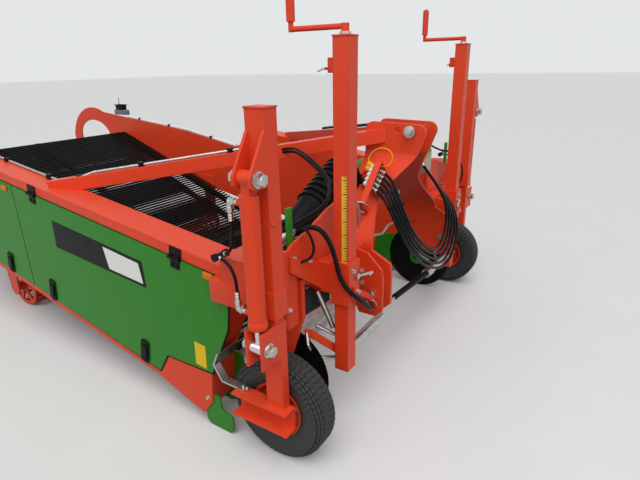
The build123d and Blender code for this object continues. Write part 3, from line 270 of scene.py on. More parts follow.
# Each finish: the function that makes it, and that function's values after the name
FINISHES = {
    # Powder coat on folded and welded steel: strong red-orange with soft highlights
    "powder_coat_orange_red": (powder_coat, "frame_paint"),
    # The same coat in leaf green on the doors, discs' hubs and gearbox
    "powder_coat_green": (powder_coat, "door_paint"),
    # Screen-printed vinyl, left bare: a flat satin yellow, black and white
    "yellow_vinyl": (dull_material, "#E0B81E", "#EDC92A", 8.0, 0.4, 0.03),
    "black_vinyl": (dull_material, "#111112", "#19191A", 8.0, 0.38, 0.03),
    "white_vinyl": (dull_material, "#DEDEDA", "#EBEBE8", 8.0, 0.38, 0.03),
    # Moulded acrylic of the side reflectors: clear strong amber
    "amber_acrylic": (dull_material, "#D8640E", "#F07B1A", 4.0, 0.18, 0.2),
    # Black enamel on the coulter discs, dulled by soil
    "black_enamel": (dull_material, "#070707", "#121211", 4.0, 0.42, 0.08),
    # Zinc plated pins, tubes and fasteners
    "bright_zinc": (bright_metal, "#A3A3A0", "#D2D2CE", 0.30),
    # Hard chrome on the piston rods
    "hard_chrome": (bright_metal, "#C4C4C2", "#DADAD8", 0.16),
    # Nickel plated couplers and ferrules, turned and crimped
    "bright_nickel": (bright_metal, "#A9A8A3", "#CFCEC9", 0.26, 3.0),
    # Spring steel of the web's bars, blacked and polished by crop
    "web_bar_steel": (dull_material, "#0B0A0B", "#191716", 5.0, 0.36, 0.12, 0.8),
    # Fabric-backed rubber of the web's belts
    "belt_rubber": (dull_material, "#0B0B0C", "#181716", 3.0, 0.7, 0.2),
    # Tyre rubber, hardly worn
    "tyre_rubber": (dull_material, "#08090A", "#131416", 3.0, 0.58, 0.12),
    # Injection-moulded black polypropylene
    "black_polypropylene": (dull_material, "#08080A", "#131315", 2.5, 0.44, 0.08),
    # Wrapped cover of hydraulic hose and cable sleeve
    "hose_cover": (dull_material, "#0C0D0F", "#1A1C1E", 2.5, 0.38, 0.1),
    # Grey deflector rubber of the aprons under the beam
    "apron_rubber": (dull_material, "#232528", "#303236", 4.0, 0.6, 0.08),
    # Yellow, red and white moulded polyethylene of the couplers' caps and conduit
    "yellow_polyethylene": (dull_material, "#E2A808", "#F4BF14", 3.0, 0.36, 0.04),
    "red_polyethylene": (dull_material, "#9E1B1C", "#B82A28", 3.0, 0.36, 0.04),
    "white_polyethylene": (dull_material, "#D5D5D0", "#E6E6E2", 3.0, 0.42, 0.04),
    # Chromated yellow-grey cast block of the valves
    "chromated_casting": (dull_material, "#A9A38C", "#C9C3AB", 2.5, 0.4, 0.2),
    # Grey moulded housing of the rear lamp box
    "grey_polycarbonate": (dull_material, "#6B6F70", "#808484", 3.0, 0.45, 0.05),
    "yellow_scale_enamel": (ruler_enamel,),
}


def finish(name):
    """The named finish, made once."""
    make, *values = FINISHES[name]
    return bpy.data.materials.get(name) or make(name, *values)


# Shapes


def verts_of(geom):
    return [item for item in geom if isinstance(item, bmesh.types.BMVert)]


def block(mesh, low, high, turn=None, edge=0.0):
    """A box between two corners in mm, turned about its middle, with bevelled edges."""
    low, high = mm(*low), mm(*high)
    made = bmesh.ops.create_cube(mesh, size=1.0)["verts"]
    size = Vector([abs(b - a) for a, b in zip(low, high)])
    bmesh.ops.scale(mesh, vec=size, verts=made)
    if edge:
        edges = list({e for v in made for e in v.link_edges})
        made = bmesh.ops.bevel(
            mesh, geom=edges, offset=edge / 1000, offset_type="OFFSET", segments=2, profile=0.5,
            affect="EDGES", material=-1)["verts"]
    matrix = Matrix.Translation((low + high) / 2) @ (turn or Matrix.Identity(4))
    bmesh.ops.transform(mesh, matrix=matrix, verts=made)


def bar(mesh, start, end, radius, sides=20, end_radius=None):
    """A round bar, cone or prism between two points of the frame."""
    along = end - start
    turn = along.to_track_quat("Z", "Y").to_matrix().to_4x4()
    bmesh.ops.create_cone(
        mesh, cap_ends=True, cap_tris=False, segments=sides, radius1=radius / 1000,
        radius2=(radius if end_radius is None else end_radius) / 1000, depth=along.length,
        matrix=Matrix.Translation((start + end) / 2) @ turn)


def lathe(mesh, profile, centre, axis, steps=32, closed=False):
    """Turns a line of (radius, along) points in mm round an axis of the frame."""
    axis = axis.normalized()
    side = axis.orthogonal().normalized()
    made = [mesh.verts.new(centre + side * (r / 1000) + axis * (a / 1000)) for r, a in profile]
    edges = [mesh.edges.new(pair) for pair in zip(made, made[1:])]
    if closed:
        edges.append(mesh.edges.new((made[-1], made[0])))
    bmesh.ops.spin(mesh, geom=made + edges, cent=centre, axis=axis, angle=2 * pi, steps=steps, use_merge=True,
                   use_duplicate=False)
    bmesh.ops.remove_doubles(mesh, verts=mesh.verts[:], dist=1e-6)


def plate(mesh, corners, through, radius=0.0):
    """A flat plate from its corners in mm, its thickness as a vector in mm, its corners rounded."""
    before = set(mesh.faces)
    made = [mesh.verts.new(mm(*corner)) for corner in corners]
    mesh.faces.new(made)
    if radius:
        bmesh.ops.bevel(mesh, geom=made, offset=radius / 1000, offset_type="OFFSET", segments=4, profile=0.5,
                        affect="VERTICES", material=-1)
    faces = [face for face in mesh.faces if face not in before]
    raised = bmesh.ops.extrude_face_region(mesh, geom=faces)["geom"]
    bmesh.ops.translate(mesh, vec=Vector(through) / 1000, verts=verts_of(raised))


def hex_bolt(mesh, place, out, across=19.0, washer=True):
    """A bolt's head with its washer, from the face it sits on."""
    out = out.normalized()
    radius = across / 2 / cos(pi / 6)
    base = place
    if washer:
        base = place + out * (across * 0.12 / 1000)
        bar(mesh, place, base, across * 0.72, 28)
    top = base + out * (across * 0.55 / 1000)
    bar(mesh, base, top, radius, 6)
    bar(mesh, top, top + out * (across * 0.06 / 1000), radius * 0.82, 24, radius * 0.7)


def bolts(mesh, places, out, across):
    """Bolts' heads with their washers, at places in drawing mm."""
    for place in places:
        hex_bolt(mesh, mm(*place), out, across)


def tube_run(mesh, places, radius, sides=16):
    """A bent tube: straight bars between places in drawing mm, with a ball in each bend."""
    places = [mm(*place) for place in places]
    for start, end in zip(places, places[1:]):
        bar(mesh, start, end, radius, sides)
    for place in places[1:-1]:
        bmesh.ops.create_uvsphere(mesh, u_segments=sides, v_segments=sides // 2, radius=radius / 1000,
                                  matrix=Matrix.Translation(place))


def upright_plate(mesh, corners, y, thickness, radius=0.0):
    """A plate that stands along the machine: corners in X and Z, its face's Y and its thickness in mm."""
    plate(mesh, [(x, y, z) for x, z in corners], (0, thickness, 0), radius)


def strap(mesh, places, drop, thickness):
    """A flat bar bent over places in drawing mm, its width and thickness as vectors in mm."""
    for start, end in zip(places, places[1:]):
        low = [tuple(a + b for a, b in zip(place, drop)) for place in (end, start)]
        plate(mesh, [start, end] + low, thickness)


def new_piece(name, mesh, finish_name, body="frame", sharp=32.0, bevel=0.0):
    """Makes a piece of the finished mesh, with its place in its mesh, and rides it on a body."""
    bmesh.ops.recalc_face_normals(mesh, faces=mesh.faces[:])
    data = bpy.data.meshes.new(name)
    mesh.to_mesh(data)
    mesh.free()
    data.shade_smooth()
    data.set_sharp_from_angle(angle=radians(sharp))
    data.materials.append(finish(finish_name))
    piece = bpy.data.objects.new(name, data)
    bpy.context.scene.collection.objects.link(piece)
    if bevel:
        rounding = piece.modifiers.new("rounded edges", "BEVEL")
        rounding.width = bevel / 1000
        rounding.segments = 2
        rounding.limit_method = "ANGLE"
        rounding.angle_limit = radians(40)
    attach(piece, body)
    return piece


def spline_piece(name, points, radius, finish_name, body="frame"):
    """A round cord whose centre line is a smooth spline through the route's control points."""
    curve = bpy.data.curves.new(name, "CURVE")
    curve.dimensions = "3D"
    spline = curve.splines.new("NURBS")
    spline.points.add(len(points) - 1)
    for point, place in zip(spline.points, points):
        point.co = (*place, 1.0)
    spline.order_u = 3
    spline.use_endpoint_u = True
    curve.resolution_u = 5
    curve.bevel_depth = radius / 1000
    curve.bevel_resolution = 3
    curve.use_fill_caps = True
    curve.materials.append(finish(finish_name))
    piece = bpy.data.objects.new(name, curve)
    bpy.context.scene.collection.objects.link(piece)
    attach(piece, body)
    return piece


class HarvesterColours(bpy.types.PropertyGroup):
    """Colours of the painted parts and of the stage."""
    frame_paint: bpy.props.FloatVectorProperty(
        name="Frame paint", description="Powder coat of the frame", subtype="COLOR", size=4,
        default=linear("#E2431F"), min=0, max=1)
    door_paint: bpy.props.FloatVectorProperty(
        name="Door paint", description="Powder coat of the doors, gearbox and hubs", subtype="COLOR", size=4,
        default=linear("#257F13"), min=0, max=1)
    floor: bpy.props.FloatVectorProperty(
        name="Floor", description="Colour of the studio floor", subtype="COLOR", size=4,
        default=linear("#DADAD8"), min=0, max=1)


class HarvesterSizes(bpy.types.PropertyGroup):
    """Sizes of the repeated small parts."""
    bolt_across: bpy.props.FloatProperty(
        name="Bolt size", description="Distance across the flats of the frame's bolts", default=0.019,
        unit="LENGTH")
    web_bar: bpy.props.FloatProperty(
        name="Web bar", description="Thickness of the web's round bars", default=0.015, unit="LENGTH")
    tread_depth: bpy.props.FloatProperty(
        name="Tread depth", description="Height of the tyres' tread blocks", default=0.007, unit="LENGTH")


NODE_FINISHES = {
    "powder_coat_orange_red": [
        "side_plates", "cover_frames", "main_beam", "depth_posts", "headstock", "link_plates", "braces",
        "disc_arms", "cage_arms", "cage_roller", "cylinder_barrels", "{}_leg", "{}_rim", "{}_crank_post",
        "{}_crank",
    ],
    "powder_coat_green": [
        "right_front_door", "right_rear_door", "left_door", "gearbox", "cheeks", "{}_disc_hub", "sensor_box",
    ],
    "black_enamel": ["{}_disc"],
    "bright_zinc": [
        "linkage_pins", "pto_stub", "side_shaft", "web_rollers", "lifting_shaft", "{}_scraper", "{}_finder",
        "hose_fittings",
    ],
    "bright_nickel": ["hose_couplers"],
    "chromated_casting": ["valve_block"],
    "hard_chrome": ["{}_cylinder_rod"],
    "web_bar_steel": ["web_bars"],
    "belt_rubber": ["web_belts"],
    "tyre_rubber": ["{}_tyre"],
    "black_polypropylene": ["door_hinges", "drive_guard"],
    "hose_cover": [f"hose_{n + 1}" for n in range(HOSE_COUNT)] + ["{}_upper_hose", "{}_lower_hose"],
}


def node_names(pattern):
    return [pattern.format(side) for side in SIDES] if "{}" in pattern else [pattern]


class HARVESTER_OT_stage(bpy.types.Operator):
    """Makes the floor, the lamps, the sky and the camera"""
    bl_idname = "harvester.stage"
    bl_label = "Stage"

    FLOOR_SIZE = 60
    VIEWPOINT = (924.32, -2049.01, 1380.0)
    YAW, PITCH, ROLL = 123.1307, -20.1224, 1.0747
    FOCAL_LENGTH, SENSOR_WIDTH = 27.0, 36.0

    def execute(self, context):
        scene = context.scene
        scene.view_settings.view_transform = "Standard"
        mesh = bmesh.new()
        bmesh.ops.create_grid(mesh, x_segments=1, y_segments=1, size=self.FLOOR_SIZE)
        data = bpy.data.meshes.new("studio_floor")
        mesh.to_mesh(data)
        mesh.free()
        floor = bpy.data.objects.new("studio_floor", data)
        scene.collection.objects.link(floor)
        # Matt floor paint: a pale grey with faint clouds about 300 mm across, which throws back little light
        material, place = new_material("matt_floor_paint")
        colour = scene.harvester_colours.floor
        tone = blend_colours(material, noise(material, place, 3.0, 6.0), shaded(colour, 0.94), list(colour))
        tone = blend_colours(material, seen_by_camera(material), linear("#8A8784"), tone)
        close_material(material, Base_Color=tone, Roughness=0.8, Specular_IOR_Level=0.2)
        data.materials.append(material)
        scene.world = self.sky()
        self.lamps(scene)
        self.camera(scene)
        return {"FINISHED"}

    def sky(self):
        """A soft white light, seen by the camera and in gloss as a pale background."""
        world = bpy.data.worlds.new("pale_sky")
        world.use_nodes = True
        world.node_tree.nodes.clear()
        light = add_node(world, "ShaderNodeBackground", {"Color": linear("#F4F6FA"), "Strength": 0.5})
        seen = add_node(world, "ShaderNodeBackground", {"Color": linear("#E4E6E8")})
        mix = add_node(world, "ShaderNodeMixShader", {
            0: seen_by_camera(world), 1: light.outputs[0], 2: seen.outputs[0]})
        add_node(world, "ShaderNodeOutputWorld", {"Surface": mix.outputs[0]})
        return world

    def lamps(self, scene):
        """A broad soft sun overhead, and a square lamp at the front and at the near side."""
        for name, place, aim, size, power in (
            ("lamp_overhead", (2.0, -2.5, 6.0), (0.5, 0.0, 0.4), None, 1.8),
            ("lamp_front", (6.0, -3.0, 3.5), (1.2, 0.0, 0.6), 3.5, 60.0),
            ("lamp_side", (-1.0, -6.5, 3.5), (-0.3, 0.0, 0.5), 3.5, 60.0),
        ):
            if size:
                lamp = bpy.data.lights.new(name, "AREA")
                lamp.shape = "SQUARE"
                lamp.size = size
            else:
                lamp = bpy.data.lights.new(name, "SUN")
                lamp.angle = radians(50)
            lamp.energy = power
            holder = bpy.data.objects.new(name, lamp)
            scene.collection.objects.link(holder)
            holder.location = place
            holder.rotation_euler = (Vector(aim) - Vector(place)).to_track_quat("-Z", "Y").to_euler()

    def camera(self, scene):
        """The photograph's viewpoint, a step to the machine's front right."""
        lens = bpy.data.cameras.new("viewpoint")
        lens.sensor_width = self.SENSOR_WIDTH
        lens.lens = self.FOCAL_LENGTH
        lens.clip_end = 200.0
        camera = bpy.data.objects.new("viewpoint", lens)
        scene.collection.objects.link(camera)
        yaw, pitch, roll = radians(self.YAW), radians(self.PITCH), radians(self.ROLL)
        forward = Vector((cos(yaw) * cos(pitch), sin(yaw) * cos(pitch), sin(pitch)))
        level = Vector((sin(yaw), -cos(yaw), 0.0))
        right = level * cos(roll) - level.cross(forward) * sin(roll)
        turn = Matrix((right, right.cross(forward), -forward)).transposed()
        camera.matrix_world = Matrix.Translation(mm(*self.VIEWPOINT)) @ turn.to_4x4()
        scene.camera = camera


def strand(number):
    """One hanging hose's route, between the outermost and the innermost one, drawn together by the ties."""
    share = number / (HOSE_COUNT - 1) - 0.5
    last = len(OUTER_HOSE) - 1
    route = []
    for step, (a, b) in enumerate(zip(OUTER_HOSE, INNER_HOSE)):
        a, b = mm(*a), mm(*b)
        tied = max(0.0, min(1.0, (step - 1) / 3, (last - 1 - step) / 3))
        spread = 1 - tied * min(0.5, 2 * HOSE_GATHER / (b - a).length)
        route.append((a + b) / 2 + (b - a) * share * spread)
    return route


def bundle_tie(name, at_point):
    """A nylon tie drawn round all the hanging hoses at one point of their route."""
    first, last = strand(0), strand(HOSE_COUNT - 1)
    along = (first[at_point + 1] - first[at_point - 1]).normalized()
    across = last[at_point] - first[at_point]
    across -= along * across.dot(along)
    turn = Matrix((across.normalized(), along.cross(across).normalized(), along)).transposed().to_4x4()
    mesh = bmesh.new()
    ring = bmesh.ops.create_circle(mesh, segments=24, radius=TIE_RADIUS)["verts"]
    far = [v for v in ring if v.co.x > 0]
    bmesh.ops.translate(mesh, vec=Vector((across.length, 0, 0)), verts=far)
    wall = bmesh.ops.extrude_edge_only(mesh, edges=mesh.edges[:])["geom"]
    bmesh.ops.translate(mesh, vec=UP * TIE_WIDTH, verts=verts_of(wall))
    bmesh.ops.transform(mesh, matrix=Matrix.Translation(first[at_point]) @ turn, verts=mesh.verts[:])
    tie = new_piece(name, mesh, "black_polypropylene")
    thickness = tie.modifiers.new("tie thickness", "SOLIDIFY")
    thickness.thickness = TIE_THICKNESS
    thickness.offset = 1.0
    return tie


class HARVESTER_OT_hoses(bpy.types.Operator):
    """Makes the hanging hoses, the cylinders' hoses and their ferrules"""
    bl_idname = "harvester.hoses"
    bl_label = "Hoses"

    def execute(self, context):
        ferrules = bmesh.new()
        for number, length in enumerate(HOSE_LENGTHS):
            route = strand(number)
            piece = spline_piece(f"hanging_hose_{number + 1}", route, HOSE_RADIUS, "hose_cover")
            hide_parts(f"hose_{number + 1}")
            for end, beside in ((route[0], route[1]), (route[-1], route[-2])):
                self.ferrule(ferrules, end, (beside - end).normalized(), 9.4, 30.0)
        for side, sign in SIDES.items():
            for place, route, length in (("upper", UPPER_HOSE, 0.201), ("lower", LOWER_HOSE, 0.170)):
                points = [mm(*point) for point in mirrored(route, sign)]
                name = f"{side}_{place}_cylinder_hose"
                piece = spline_piece(name, points, CYLINDER_HOSE_RADIUS, "hose_cover")
                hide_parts(f"{side}_{place}_hose")
                self.ferrule(ferrules, points[0], (points[1] - points[0]).normalized(), 8.6, 26.0)
                self.ferrule(ferrules, points[-1], (points[-2] - points[-1]).normalized(), 7.4, 16.0)
        new_piece("hose_ferrules", ferrules, "bright_nickel")
        for number, at_point in enumerate((2, 5)):
            bundle_tie(f"hose_tie_{number + 1}", at_point)
        self.fittings()
        return {"FINISHED"}

    def fittings(self):
        """The elbows at the cylinders' ports, and the tees that both hoses end in."""
        elbows, tees = bmesh.new(), bmesh.new()
        for sign in SIDES.values():
            y = sign * CYLINDER_Y
            for route, port_z in ((UPPER_HOSE, 1012.0), (LOWER_HOSE, 660.0)):
                x, _, end_z = route[0]
                tube_run(elbows, [(2, y, port_z), (x, y, port_z), (x, y, end_z)], 9.0, 20)
                out = (port_z - end_z) / abs(port_z - end_z)
                bar(elbows, mm(x, y, end_z + out * 3), mm(x, y, end_z + out * 16), 12.0, 6)
                bar(elbows, mm(x + 11, y, port_z), mm(x + 22, y, port_z), 12.5, 6)
            bar(tees, mm(-122, sign * 999, 812), mm(-122, sign * 1058, 812), 10.0, 20)
            for low, high in ((1000, 1012), (1050, 1060)):
                bar(tees, mm(-122, sign * low, 812), mm(-122, sign * high, 812), 14.5, 6)
            bar(tees, mm(-122, sign * 1018, 816), mm(-110, sign * 1022, 816), 9.0, 6)
        piece = new_piece("port_elbows", elbows, "bright_zinc")
        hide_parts("hose_fittings")
        new_piece("cylinder_hose_tees", tees, "hose_cover")

    def ferrule(self, mesh, end, along, radius, length):
        """A crimped sleeve on a hose's end, with three pressed bands."""
        bands = 3
        profile = [(radius - 2.5, 0), (radius, 1.5)]
        for band in range(bands):
            low = length * (band + 0.3) / bands
            high = length * (band + 0.75) / bands
            profile += [(radius, low), (radius - 0.9, low + 1), (radius - 0.9, high), (radius, high + 1)]
        profile += [(radius, length - 1), (radius - 1.4, length)]
        lathe(mesh, profile, end, along, 20)


class HARVESTER_OT_finishes(bpy.types.Operator):
    """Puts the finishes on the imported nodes"""
    bl_idname = "harvester.finishes"
    bl_label = "Finishes"

    def execute(self, context):
        for name, patterns in NODE_FINISHES.items():
            for pattern in patterns:
                for node_name in node_names(pattern):
                    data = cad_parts[node_name].data
                    data.materials.clear()
                    data.materials.append(finish(name))
        return {"FINISHED"}


class HARVESTER_OT_doors(bpy.types.Operator):
    """Makes the doors with their seals, latches, leaves and blank signs, and the side reflectors"""
    bl_idname = "harvester.doors"
    bl_label = "Doors and covers"

    SEAM_X = -1530.0
    REAR_X = {"right": -2500.0, "left": -1380.0}
    # The skin's front edge, from its top corner down to the skirt, and the same edge of the panel behind it
    SKIN_FRONT = [(-226, 690), (-226, 606), (-166, 602), (-181, 490), (-284, 269),
                  (-541, 262), (-603, 165)]
    PANEL_FRONT = [(-228, 690), (-228, 604), (-212, 598), (-349, 309), (-430, 276),
                   (-536, 272), (-600, 198), (-628, 194)]
    NOTCH_CORNER = [(-614, 180), (-600, 190), (-545, 256), (-425, 262), (-425, 250), (-600, 172)]
    TOE_SHIELD = [(-344, 158), (-352, 24), (-334, 4), (-222, 4), (-206, 24), (-206, 84), (-262, 100),
                  (-270, 158)]
    TOP_GAP = 48.0                    # from the ledge down to a door's upper edge
    SKIN_LOW, PANEL_LOW = 28.0, 53.0  # from the skirt's line up to their lower edges
    LATCHES = {"right_front_door": (-684, -1350), "right_rear_door": (-1720, -2330),
               "left_door": (-684, -1240)}
    HINGES = {"right_front_door": (-415, -1350), "right_rear_door": (-1720, -2330),
              "left_door": (-415, -1230)}
    # Each blank plate's corners in X and Z, how far it stands out, its corners' radius and its finish
    SIGNS = {
        "door_sign_black": ([(-1226, 738), (-1232, 608), (-612, 552), (-618, 664)], 1.2, 5.0, "black_vinyl"),
        "door_sign_white": ([(-862, 681), (-840, 585), (-626, 566), (-640, 652)], 1.7, 3.0, "white_vinyl"),
        "door_label": ([(-366, 386), (-370, 284), (-312, 278), (-308, 380)], 0.6, 3.0, "yellow_vinyl"),
    }
    LATCH_UP = 84.0          # from the skirt's line up to a latch's middle
    LEAF = (24, 10, 44)      # half a leaf's width, and how far below the pin it begins and ends

    def execute(self, context):
        for door in self.LATCHES:
            side = door.split("_")[0]
            sign = SIDES[side]
            self.door(door, side, sign)
            self.seal(door, side, sign)
            for name, places, make, bevel in (
                ("latches", self.LATCHES, self.latch, 1.5), ("leaves", self.HINGES, self.leaf, 0.8),
            ):
                mesh = bmesh.new()
                for x in places[door]:
                    make(mesh, x, sign)
                new_piece(f"{door}_{name}", mesh, "black_polypropylene", door, bevel=bevel)
        self.infill()
        self.sign()
        self.reflectors()
        return {"FINISHED"}

    def outline(self, door, side, front, low, gap, grow=0.0):
        """A door's corners in X and Z: front edge, skirt, rear edge and top."""
        rear_x = self.REAR_X[side] + gap - grow
        corners = list(front)
        corners[0] = (front[0][0], ledge_z(front[0][0]) - self.TOP_GAP)
        if door == "right_front_door":
            rear_x = self.SEAM_X + 3
        if door == "right_rear_door":
            seam = self.SEAM_X - 3
            corners = [(seam, ledge_z(seam) - self.TOP_GAP), (seam, skirt_z(seam) + low - grow)]
        return corners + [(rear_x, skirt_z(rear_x) + low - grow), (rear_x, ledge_z(rear_x) - self.TOP_GAP)]

    def door(self, door, side, sign):
        """A folded sheet: the panel in the opening and the skin that laps over the cover."""
        mesh = bmesh.new()
        panel = self.outline(door, side, self.PANEL_FRONT, self.PANEL_LOW, 6.0)
        upright_plate(mesh, panel, sign * (COVER_Y - 14), sign * 15.0)
        skin = self.outline(door, side, self.SKIN_FRONT, self.SKIN_LOW, 0.0)
        upright_plate(mesh, skin, sign * (COVER_Y + 0.8), sign * 1.4, 6.0)
        piece = new_piece(f"{door}_skin", mesh, "powder_coat_green", door)
        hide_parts(door)

    def seal(self, door, side, sign):
        """The black rubber lip that shows round the skin's front and lower edge."""
        front = [(x + dx, z + dz) for (x, z), (dx, dz) in zip(
            self.SKIN_FRONT, ((2, 0), (2, 1), (8, 1), (8, -2), (6, -8), (4, -6), (3, -7)))]
        mesh = bmesh.new()
        lip = self.outline(door, side, front, self.SKIN_LOW, 0.0, 2.5)
        upright_plate(mesh, lip, sign * (COVER_Y + 0.2), sign * 0.6, 6.0)
        new_piece(f"{door}_seal", mesh, "belt_rubber", door)

    def infill(self):
        """The covers' corners below the doors' notch, the posts' gussets and the shields at the toes."""
        corners, shields, screws = bmesh.new(), bmesh.new(), bmesh.new()
        for sign in SIDES.values():
            upright_plate(corners, self.NOTCH_CORNER, sign * (COVER_Y - 12), sign * 11.4)
            block(corners, (-219, sign * (COVER_Y - 4), 611), (-62, sign * 1001.5, 698), edge=2.5)
            upright_plate(shields, self.TOE_SHIELD, sign * 964, -sign * 6.0, 8.0)
            bar(screws, mm(-326, sign * 959, 138), mm(-326, sign * 971, 138), 5.0, 16)
            bolts(screws, [(-326, sign * 970, 138)], LEFT * sign, FLATS_M8)
        new_piece("cover_corners", corners, "powder_coat_orange_red")
        new_piece("toe_shields", shields, "powder_coat_green")
        new_piece("toe_shield_bolts", screws, "bright_zinc")

    def latch(self, mesh, x, sign):
        """A slam latch that stands square to the skirt: its plate, its paddle and its lock."""
        lean = Matrix.Rotation(radians(SKIRT[2]), 3, "Y")
        z = skirt_z(x) + self.LATCH_UP
        y = COVER_Y + 2

        def spot(dx, dy, dz):
            turned = lean @ Vector((dx, 0, dz))
            return x + turned.x, sign * (y + dy), z + turned.z

        for half, high, rise, deep, corner in ((25, 57, 0, 7, 14), (16, 34, 6, 6, 10)):
            plate(mesh, [spot(dx, rise, dz) for dx, dz in (
                (-half, -high), (half, -high), (half, high), (-half, high))], (0, sign * deep, 0), corner)
        bar(mesh, mm(*spot(0, 6, -45)), mm(*spot(0, 10, -45)), 8.0, 20)

    def leaf(self, mesh, x, sign):
        """The door's half of a hinge: the leaf on its skin, the eye on the pin and two screws."""
        slope = Matrix.Rotation(radians(LEDGE[1]), 3, "Y")
        half, low, reach = self.LEAF

        def spot(dx, y, dz):
            turned = slope @ Vector((dx, 0, dz))
            return x + turned.x, sign * y, ledge_z(x) - 45 + turned.z

        plate(mesh, [spot(dx, COVER_Y + 2, dz) for dx, dz in (
            (-half, -reach), (half, -reach), (half, -low), (-half, -low))], (0, sign * 3.0, 0), 4.0)
        plate(mesh, [spot(dx, COVER_Y + 2, dz) for dx, dz in ((-11, -12), (11, -12), (11, -3), (-11, -3))],
              (0, sign * 4.0, 0))
        bar(mesh, mm(*spot(-11, COVER_Y + 9, 0)), mm(*spot(11, COVER_Y + 9, 0)), 7.0, 24)
        for dx in (-14, 14):
            hex_bolt(mesh, mm(*spot(dx, COVER_Y + 5, -30)), Vector((0, sign, 0)), 8.0, washer=False)

    def sign(self):
        """The blank sign and the blank label on the right front door."""
        y = -(COVER_Y + 2.2)
        for name, (corners, deep, corner, finish_name) in self.SIGNS.items():
            mesh = bmesh.new()
            upright_plate(mesh, corners, y, -deep, corner)
            new_piece(name, mesh, finish_name, "right_front_door")

    def reflectors(self):
        """An amber reflector on each door, and one on the bare rear of the left side plate."""
        slope = Matrix.Rotation(radians(LEDGE[1]), 4, "Y")
        skin_y = COVER_Y + 2.2
        for body, sign, x, drop, face in (
            ("right_front_door", -1, -252.0, 60.0, skin_y), ("right_rear_door", -1, -1600.0, 78.0, skin_y),
            ("left_door", 1, -252.0, 60.0, skin_y), ("frame", 1, -1600.0, 78.0, 848.0),
        ):
            z = ledge_z(x) - drop
            mesh = bmesh.new()
            block(mesh, (x - 22, sign * face, z - 13), (x + 22, sign * (face + 5), z + 13), slope, 1.5)
            new_piece(f"{body}_reflector", mesh, "amber_acrylic", body)


def wheel_point(sign, along):
    return mm(0, sign * (WHEEL_Y + along), AXLE_Z)


class HARVESTER_OT_wheels(bpy.types.Operator):
    """Makes the tyres with their tread, and the rims' lips, bolts and valves"""
    bl_idname = "harvester.wheels"
    bl_label = "Wheels"

    STEPS = 56
    SIDEWALL = [(104, 34), (109, 40), (118, 44.5), (132, 50), (150, 53.3), (168, 53)]
    TREAD = [(181, 50), (190, 43), (194.8, 33), (196.4, 20), (197, 7)]
    ZIGZAG = (43.0, 20.0)     # rings that are turned by a third of a block
    BLOCK_GAP = 0.0026        # from a block's edge to its neighbour's line
    TREAD_FROM = 0.172        # radius beyond which the tyre has blocks
    LIP = [(96.4, 39.2), (103.6, 39.2), (106.5, 41.5), (107.5, 44), (106, 45.6), (103, 45), (100.5, 41.5),
           (96.4, 41)]
    BOLTS, BOLT_CIRCLE = 5, 0.055

    def execute(self, context):
        depth = context.scene.harvester_sizes.tread_depth
        for side, sign in SIDES.items():
            tyre = self.tyre(side, depth)
            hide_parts(f"{side}_tyre")
            self.rim_parts(side, sign)
        return {"FINISHED"}

    def tyre(self, side, depth):
        centre = wheel_point(SIDES[side], 0)
        half = self.SIDEWALL + self.TREAD
        profile = [(r, -w) for r, w in half] + [(r, w) for r, w in reversed(half)]
        mesh = bmesh.new()
        lathe(mesh, profile, centre, LEFT, self.STEPS, closed=True)
        third = Matrix.Rotation(2 * pi / self.STEPS / 3, 3, LEFT)
        for w in self.ZIGZAG:
            ring = [v for v in mesh.verts if abs(abs(v.co.y - centre.y) * 1000 - w) < 0.2
                    and (v.co - centre).length > 0.15]
            bmesh.ops.rotate(mesh, verts=ring, cent=centre, matrix=third)
        edge = (self.SIDEWALL[-1][1] + 0.2) / 1000
        tread = []
        for face in mesh.faces:
            middle = face.calc_center_median() - centre
            reach = (middle.x ** 2 + middle.z ** 2) ** 0.5
            if reach > self.TREAD_FROM and abs(middle.y) < edge:
                tread.append(face)
        bmesh.ops.recalc_face_normals(mesh, faces=mesh.faces[:])
        bmesh.ops.inset_individual(mesh, faces=tread, thickness=self.BLOCK_GAP, depth=depth,
                                   use_even_offset=True)
        outer = AXLE_Z / 1000
        for v in mesh.verts:
            reach = ((v.co.x - centre.x) ** 2 + (v.co.z - centre.z) ** 2) ** 0.5
            if reach > outer:
                v.co.x = centre.x + (v.co.x - centre.x) * outer / reach
                v.co.z = centre.z + (v.co.z - centre.z) * outer / reach
        return new_piece(f"{side}_tread_tyre", mesh, "tyre_rubber", f"{side}_wheel", sharp=28.0)

    def rim_parts(self, side, sign):
        mesh = bmesh.new()
        for face in (-1, 1):
            lathe(mesh, [(r, face * w) for r, w in self.LIP], wheel_point(sign, 0), LEFT, 48, closed=True)
        new_piece(f"{side}_rim_lips", mesh, "powder_coat_orange_red", f"{side}_wheel")
        mesh = bmesh.new()
        for turn in range(self.BOLTS):
            angle = 2 * pi * turn / self.BOLTS
            for face in (-1, 1):
                spot = wheel_point(sign, face * 5) + Vector((cos(angle), 0, sin(angle))) * self.BOLT_CIRCLE
                hex_bolt(mesh, spot, LEFT * face, FLATS_WHEEL)
        valve = wheel_point(sign, sign * 6) + Vector((0.078, 0, 0.02))
        bar(mesh, valve, valve + LEFT * (sign * 0.028), 4.0, 12)
        new_piece(f"{side}_wheel_bolts", mesh, "bright_zinc", f"{side}_wheel")


